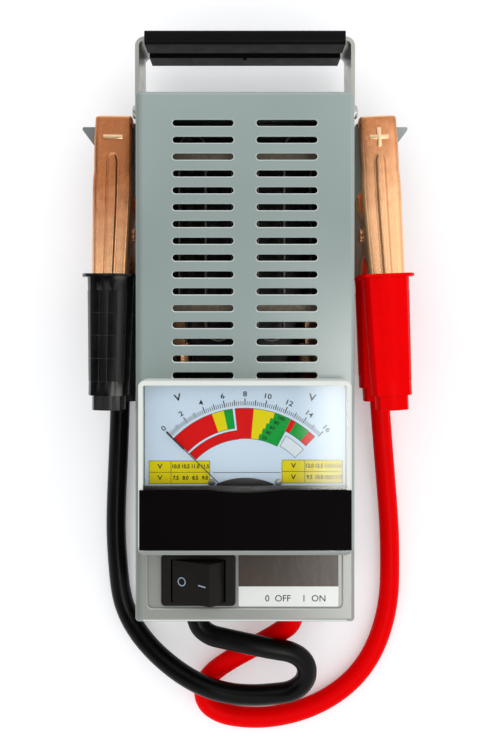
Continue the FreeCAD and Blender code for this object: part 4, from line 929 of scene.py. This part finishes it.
def arch():
    """The channel's outline at the tip, as a line of edges: cheek, crown, web, crown, cheek."""
    wide, top = 2 * along(JAW_HALVES, JAW_TIP), along(JAW_CREST, JAW_TIP)
    jaw = fresh(bpy.ops.mesh.primitive_plane_add, size=1.0, rotation=UPRIGHT)
    bpy.ops.object.transform_apply()
    fit(jaw, (wide * MM, 1.0, JAW_DEEP * MM), mm(0.0, JAW_TIP, top - JAW_DEEP / 2))
    pick(jaw, lambda spot: spot.z > (top - 1.0) * MM, "VERT")
    bpy.ops.mesh.bevel(offset=JAW_CROWN * MM, segments=4, affect="VERTICES")
    pick(jaw)
    bpy.ops.mesh.delete(type="ONLY_FACE")
    pick(jaw, lambda spot: spot.z < (top - JAW_DEEP + 0.1) * MM, "EDGE")
    bpy.ops.mesh.delete(type="EDGE")
    pick(jaw, lambda spot: abs(spot.x) < 0.1 * MM, "EDGE")
    bpy.ops.mesh.subdivide(number_cuts=3)
    pick(jaw, lambda spot: abs(spot.x) < wide / 4 * MM, "VERT")
    widen(RIB_HALF / ((wide / 2 - JAW_CROWN) / 2))
    return jaw


def clamp_jaw():
    """The arch, repeated close together at the teeth and wider apart along the handle."""
    jaw = arch()
    teeth = [TEETH_START - TOOTH * step for step in range(TOOTH_ROWS)]
    rows = sorted({*teeth, *MORE_ROWS, *(y for y, low in CHEEK_LOW)}, reverse=True)
    pick(jaw, kind="EDGE")
    for y, to_y in zip([JAW_TIP] + rows, rows):
        extend(0.0, to_y - y, along(JAW_CREST, to_y) - along(JAW_CREST, y))
        widen(along(JAW_HALVES, to_y) / along(JAW_HALVES, y))
    for y in [JAW_TIP] + rows:
        foot = along(JAW_CREST, y) - JAW_DEEP
        pick(jaw, lambda spot: abs(spot.y - y * MM) < NEAR and spot.z < (foot + 0.5) * MM, "VERT")
        bpy.ops.transform.translate(value=mm(0.0, 0.0, cheek_low(y) - foot))
        widen(min(1.0, CHEEK_HALF / along(JAW_HALVES, y)))
    return jaw


def press_rib(jaw):
    """Rounds the head of the rib, raises the rib, and closes and rounds the tip of the jaw."""
    pick(jaw, lambda spot: abs(spot.y - RIB_END * MM) < NEAR and abs(spot.x) < 1.2 * RIB_HALF * MM, "VERT")
    widen(RIB_HEAD)
    pick(jaw, lambda spot: abs(spot.x) < RIB_HALF * MM and spot.y < RIB_END * MM)
    bpy.ops.mesh.normals_make_consistent(inside=False)
    for narrower, rise in RIB_INSETS:
        bpy.ops.mesh.inset(thickness=narrower * MM, depth=rise * MM)
    pick(jaw, lambda spot: spot.y > JAW_TIP * MM - NEAR, "EDGE")
    bpy.ops.mesh.edge_face_add()
    pick(jaw, lambda spot: spot.y > JAW_TIP * MM - NEAR and spot.z > (BITE + 2.0) * MM, "EDGE")
    bpy.ops.mesh.bevel(offset=TIP_ROUND, segments=3)
    face_out(jaw)


def raised_bar(wide, deep, high):
    """One stroke of a polarity mark, standing a little proud of the web near the tip."""
    piece = flat_start(wide, deep)
    raise_all(piece, high)
    soften(piece, 0.5, 40.0)
    return put(piece, mm(0.0, MARK_Y, along(JAW_CREST, MARK_Y) - MARK_SUNK), lean=MARK_LEAN)


def on_mark(spot):
    """The mark stands proud, so everything that the clamp touches rubs it;
    its paler copper is also a painted highlight.
    """
    return abs(spot.y / MM - MARK_Y) < MARK_REACH and spot.z / MM > along(JAW_CREST, spot.y / MM) + 0.1


first_jaw = clamp_jaw()
press_rib(first_jaw)
modify(first_jaw, "SOLIDIFY", thickness=JAW_SHEET, offset=-1.0)
modify(first_jaw, "SUBSURF", levels=1, render_levels=1)
smooth(45.0)
for jaw, colour, lower, name, body in four_of(first_jaw):
    strokes = []
    if lower:
        mirror(jaw, LOWER_SHARE)
        for y in FLARE_ROWS:
            pick(jaw, lambda spot: abs(spot.y) > y * MM, "VERT")
            widen(LOWER_SHARE ** (-1.0 / len(FLARE_ROWS)))
    else:
        strokes = [raised_bar(*stroke) for stroke in POLES[colour]]
    jaw = settle([jaw] + strokes, name + "_stamped_jaw", body, copper)
    # The raised marks get paler copper: partly polish from wear, partly a painted highlight.
    if strokes:
        refinish(jaw, polished_and_highlit_copper, on_mark)
    to_clamp(jaw, colour)
    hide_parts(name + "_jaw")
    CLAMPS[colour].append(jaw)

# %% [markdown]
# ## The clamps' springs
# A torsion spring twists when its clamp is squeezed: one leg goes with each handle. A rigid copy would cut
# through the jaw; here a copy of the drawn coil, with its doubled corners merged, takes the drawn one's
# place, and it is not bent.


def bending_spring(colour):
    mesh = NODES[colour + "_clamp_spring"].data.copy()
    spring = bpy.data.objects.new(colour + "_bending_spring", mesh)
    scene.collection.objects.link(spring)
    pick(spring)
    bpy.ops.mesh.remove_doubles(threshold=0.001 * MM)
    only(spring)
    pivot = Vector(JOINTS[colour + "_clamp_squeeze"]["pos_m"])
    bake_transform(spring)
    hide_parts(colour + "_clamp_spring")
    print(spring.name, "corners:", len(mesh.vertices))
    return spring


for colour, pieces in CLAMPS.items():
    pieces.append(bending_spring(colour))

# %% [markdown]
# ## The print on the dial
# The dial is sheet metal with a screen-printed scale: sixteen volts over a little more than a quarter turn,
# coloured bands under it, and two yellow tables. A thin raised layer stays crisp from any side. Each band is
# an edge spun about the needle's pivot, so its arcs are true, and the ticks are one small bar spun as copies.
# The numbers are plain text turned to mesh.

# %% Inks
INK_SHADES = {
    "red": ("#f20000", "#e20000"), "yellow": ("#f8e200", "#f0d800"), "green": ("#00a83c", "#009c34"),
    "white": ("#eef3f6", "#e6edf1"), "black": ("#0c0c16", "#12121c"),
}
INKS, prints = {}, {}
for tint, shades in INK_SHADES.items():
    # Screen ink is flat and even; only its colour speaks.
    INKS[tint] = surfaced(tint + "_screen_ink", *shades, 6.0, 0.42, 0.05, **SATIN)
    prints[tint] = []
print("inks:", len(INKS))

# %% Bands of the dial
DIAL_PIVOT = Vector(JOINTS["needle_sweep"]["pos_m"])
DIAL_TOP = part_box("dial_plate")[1].z
DIAL_SPOT = Vector((*DIAL_PIVOT.xy, DIAL_TOP))
SCALE_HALF = 45.8
SCALE_VOLTS = 16
INK_MM = 0.06
OUTLINE_MM = 0.22
ARC_STEP = 1.5
OUTER, INNER = 48.7, 34.0
# Rings of the dial, by their radii in millimetres. A band is a ring with a start and an end in degrees.
UPPER, LOWER, WHOLE, RIGHT = (39.3, OUTER), (33.8, 37.9), (INNER, OUTER), (42.6, OUTER)
STEPS_START, STEPS_END = 5.1, 27.6
STEP_EDGES = (17.5, 15.9, 14.3, 12.7, 11.1)
STEP_HIGH = (OUTER - INNER) / len(STEP_EDGES)
NOTE_BOX = (34.8, 40.4, 29.9, 44.9)
FRAMES = (
    (*UPPER, -45.6, -7.5), (*LOWER, -45.6, -5.6), (*WHOLE, -5.6, STEPS_END), (*RIGHT, STEPS_END, 44.5), NOTE_BOX,
)
BANDS = {
    "red": [
        (*UPPER, -45.6, -19.5), (*LOWER, -45.6, -5.6), (*WHOLE, -5.6, STEPS_START), (*RIGHT, STEPS_END, 30.9),
        (*RIGHT, 40.0, 44.5),
    ],
    "yellow": [(*UPPER, -19.5, -12.5)],
    "green": [(*UPPER, -12.5, -7.5), (*RIGHT, 30.9, 40.0)],
    "white": [NOTE_BOX],
}


def spin(steps, degrees, **options):
    """Spins what is selected about the upright axis."""
    bpy.ops.mesh.spin(steps=steps, angle=math.radians(degrees), center=ORIGIN, axis=(0.0, 0.0, 1.0), **options)


def sector(inner, outer, start, end, rise=INK_MM):
    """A flat piece of ring about the pivot: radii in millimetres, degrees clockwise from straight up."""
    wide = outer - inner
    piece = flat_start(wide, wide, (wide / 2, (inner + outer) / 2))
    pick(piece, lambda corner: corner.x > wide / 2 * MM, "VERT")
    bpy.ops.mesh.delete(type="VERT")
    bpy.ops.mesh.select_all(action="SELECT")
    spin(max(1, round((end - start) / ARC_STEP)), end - start)
    raise_all(piece, rise)
    return put(piece, DIAL_SPOT, start)


# A dark line shows round each frame: the same shape, a little larger and thinner.
for inner, outer, start, end in FRAMES:
    slack = math.degrees(OUTLINE_MM / ((inner + outer) / 2))
    around = (inner - OUTLINE_MM, outer + OUTLINE_MM, start - slack, end + slack)
    prints["black"].append(sector(*around, INK_MM / 2))
for row, edge in enumerate(STEP_EDGES):
    top = OUTER - row * STEP_HIGH
    BANDS["yellow"].append((top - STEP_HIGH, top, STEPS_START, edge))
    BANDS["green"].append((top - STEP_HIGH, top, edge, STEPS_END))
for tint, bands in BANDS.items():
    prints[tint] += [sector(*band) for band in bands]
    print(tint, "bands:", len(bands))

# %% Ticks and numbers of the dial
TICK_START = 50.2
NUMBERS_AT, UNITS_AT, STEP_NUMBERS_AT = 55.7, 63.2, 4.6
TICKS = ((52.2, 0.3, SCALE_VOLTS * 5), (53.0, 0.42, SCALE_VOLTS), (53.6, 0.46, SCALE_VOLTS // 2))


def ticks(outer, wide, count):
    """One bar, spun as copies from one end of the scale to the other."""
    piece = flat_start(wide, outer - TICK_START, (0.0, (TICK_START + outer) / 2))
    raise_all(piece, INK_MM)
    pick(piece)
    spin(count, 2 * SCALE_HALF, dupli=True)
    return put(piece, DIAL_SPOT, -SCALE_HALF)


def lettering(words, size, place, turn=0.0, stretch=1.0, bold=0.0):
    """Plain text as a thin solid, centred on a place; size is in millimetres."""
    text = fresh(bpy.ops.object.text_add).data
    assign(text, body=words, size=size * MM, align_x="CENTER", align_y="CENTER")
    assign(text, extrude=INK_MM * MM / 2, offset=bold * MM, resolution_u=3)
    bpy.ops.object.convert(target="MESH")
    piece = bpy.context.object
    piece.scale.x = stretch
    return put(piece, Vector(place) + Vector((0.0, 0.0, INK_MM * MM / 2)), turn)


def on_dial(radius, degrees):
    """A spot on the dial by its distance from the pivot and its bearing."""
    a = math.radians(degrees)
    return DIAL_SPOT + Vector((radius * math.sin(a), radius * math.cos(a), 0.0)) * MM


black_print = prints["black"]
black_print += [ticks(*row) for row in TICKS]
for volts in range(0, SCALE_VOLTS + 1, 2):
    turn = SCALE_HALF * (2.0 * volts / SCALE_VOLTS - 1.0)
    black_print.append(lettering(str(volts), 3.5, on_dial(NUMBERS_AT, turn), turn, 1.2, 0.04))
for degrees, turn in ((-31.5, -15.0), (31.5, 13.0)):
    black_print.append(lettering("V", 4.8, on_dial(UNITS_AT, degrees), turn, 1.15, 0.08))
for row, edge in enumerate(STEP_EDGES):
    spot = on_dial(OUTER - (row + 0.5) * STEP_HIGH, edge + STEP_NUMBERS_AT)
    black_print.append(lettering(str(100 - 20 * row), 2.2, spot, 20.0, 1.2, 0.05))
print("numbers on the scale:", SCALE_VOLTS // 2 + 1)

# %% Tables of the dial
TABLE_HIGH = 11.2
RULE_HALF = 0.11
DIVIDER = (-15.8, 17.6, -73.9, -73.65)
LEFT_TABLE = (-47.2, -17.3, -36.4, -79.3, (("10.0", "10.5", "11.0", "11.5"), ("7.5", "8.0", "8.5", "9.0")))
RIGHT_TABLE = (18.2, 47.9, 29.4, -78.9, (("12.0", "12.5", "13.0", "13.5"), ("9.5", "10.0", "10.5", "11.0")))


def bar(x0, x1, y0, y1, rise=INK_MM):
    """A flat printed rectangle on the dial, by its corners in millimetres."""
    piece = flat_start(x1 - x0, y1 - y0, ((x0 + x1) / 2, (y0 + y1) / 2))
    bpy.ops.mesh.subdivide(number_cuts=1)
    raise_all(piece, rise)
    return put(piece, (0.0, 0.0, DIAL_TOP))


def table(x0, x1, split, low, rows):
    """A yellow table: a field, its rules, and two rows of plain numbers."""
    high = low + TABLE_HIGH
    prints["yellow"].append(bar(x0, x1, low, high, INK_MM / 2))
    for y in (low, (low + high) / 2, high):
        black_print.append(bar(x0, x1, y - RULE_HALF, y + RULE_HALF))
    for x in (x0, split, x1):
        black_print.append(bar(x - RULE_HALF, x + RULE_HALF, low, high))
    for row, numbers in enumerate(rows):
        y = low + TABLE_HIGH * (0.75 - 0.5 * row)
        words = [("V", 3.2, (x0 + split) / 2, 1.2, 0.07)]
        for column, number in enumerate(numbers):
            words.append((number, 2.7, split + (x1 - split) * (column + 0.5) / len(numbers), 0.9, 0.08))
        for word, size, x, stretch, bold in words:
            black_print.append(lettering(word, size, (*mm(x, y), DIAL_TOP), 0.0, stretch, bold))


table(*LEFT_TABLE)
table(*RIGHT_TABLE)
black_print.append(bar(*DIVIDER))
for tint, pieces in prints.items():
    settle(pieces, tint + "_dial_print", ROOT, INKS[tint])

# %% [markdown]
# ## The needle
# The pointer is a hair of drawn wire with a flattened tip, a hub and a balance weight. The solid one is
# stout enough to be cut from sheet, so a finer one is drawn over it: one edge, extruded from station to
# station and drawn in at each, then thickened. The hub and the weight are cylinders with a bevelled rim.

# %% Needle
NEEDLE_LINE = ((-9.0, 0.4), (0.0, 0.26), (41.0, 0.17), (42.5, 0.4), (53.0, 0.36), (54.0, 0.08))
NEEDLE_TAIL, TAIL_HALF = NEEDLE_LINE[0]
NEEDLE_SPOT = Vector((*DIAL_PIVOT.xy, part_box("needle")[0].z))
BLADE_RISE = Vector(mm(0.0, 0.0, 0.2))
BLADE_THICK = 0.5
RIM = 0.25 * MM


def needle_blade():
    piece = flat_start(2 * TAIL_HALF, 1.0, (0.0, NEEDLE_TAIL + 0.5))
    pick(piece, lambda corner: corner.y > (NEEDLE_TAIL + 0.5) * MM, "VERT")
    bpy.ops.mesh.delete(type="VERT")
    pick(piece, kind="EDGE")
    for (y, half), (to_y, to_half) in zip(NEEDLE_LINE, NEEDLE_LINE[1:]):
        extend(0.0, to_y - y, 0.0)
        widen(to_half / half)
    raise_all(piece, BLADE_THICK)
    return put(piece, NEEDLE_SPOT + BLADE_RISE, -SCALE_HALF)


def turned_disc(radius, high, y):
    """A small disc with a bevelled rim, at a place along the needle."""
    piece = fresh(bpy.ops.mesh.primitive_cylinder_add, vertices=32, radius=radius * MM, depth=high * MM)
    pick(piece, lambda spot: spot.z > high / 2 * MM - NEAR, "EDGE")
    bpy.ops.mesh.bevel(offset=RIM, segments=2)
    put(piece, mm(0.0, y, high / 2))
    return put(piece, NEEDLE_SPOT, -SCALE_HALF)


fine_needle = settle(
    [needle_blade(), turned_disc(2.2, 1.3, 0.0), turned_disc(1.3, 1.0, NEEDLE_TAIL)],
    "fine_needle", "needle_arm", dark_moulding,
)
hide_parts("needle")

# %% [markdown]
# ## Marks on the switch and the label
# The rocker carries a ring and a dash, pad-printed in pale grey on its sloping face, so the marks are tilted
# to lie on it and ride with the rocker. The label keeps its two fields, and its pale one says in plain words
# which side of the switch is which.

# %% Switch marks and label words
# Pad ink on the switch gives a pale blue-grey that stands off the black.
mark_ink = surfaced("pale_grey_pad_ink", "#93a3b3", "#8797a8", 3.0, 0.5, 0.05)
ROCKER_PIVOT = Vector(JOINTS["rocker_press"]["pos_m"])
ROCKER_SLOPE = 22.83
FACE_X, FACE_Z = -12.8, 3.92
RING_RADIUS, RING_WIDE = mm(2.2, 0.5)
RING_SPOT, DASH_SPOT = (-8.1, -128.7), (2.1, -129.6)
DASH, DASH_TURN = (4.0, 0.62), 8.0
LABEL_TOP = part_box("panel_label")[1].z
LABEL_WORDS = (("0  OFF", 16.5), ("1  ON", 34.5))
WORDS_Y, WORD_SIZE = -138.5, 4.6


def on_rocker(x, y):
    """A spot on the sloping face of the rocker, by its place across it in millimetres."""
    rise = FACE_Z + (x - FACE_X) * math.tan(math.radians(ROCKER_SLOPE))
    return Vector((ROCKER_PIVOT.x + x * MM, y * MM, ROCKER_PIVOT.z + rise * MM))


ring_mark = fresh(bpy.ops.mesh.primitive_circle_add, vertices=32, radius=RING_RADIUS, fill_type="NGON")
pick(ring_mark)
bpy.ops.mesh.inset(thickness=RING_WIDE)
bpy.ops.mesh.delete(type="FACE")
raise_all(ring_mark, INK_MM)
put(ring_mark, on_rocker(*RING_SPOT), tilt=-ROCKER_SLOPE)
dash_mark = flat_start(*DASH)
bpy.ops.mesh.subdivide(number_cuts=1)
raise_all(dash_mark, INK_MM)
put(dash_mark, on_rocker(*DASH_SPOT), DASH_TURN, -ROCKER_SLOPE)
settle([ring_mark, dash_mark], "rocker_marks", "rocker", mark_ink)
words = [lettering(word, WORD_SIZE, (*mm(x, WORDS_Y), LABEL_TOP)) for word, x in LABEL_WORDS]
settle(words, "label_words", ROOT, INKS["black"])
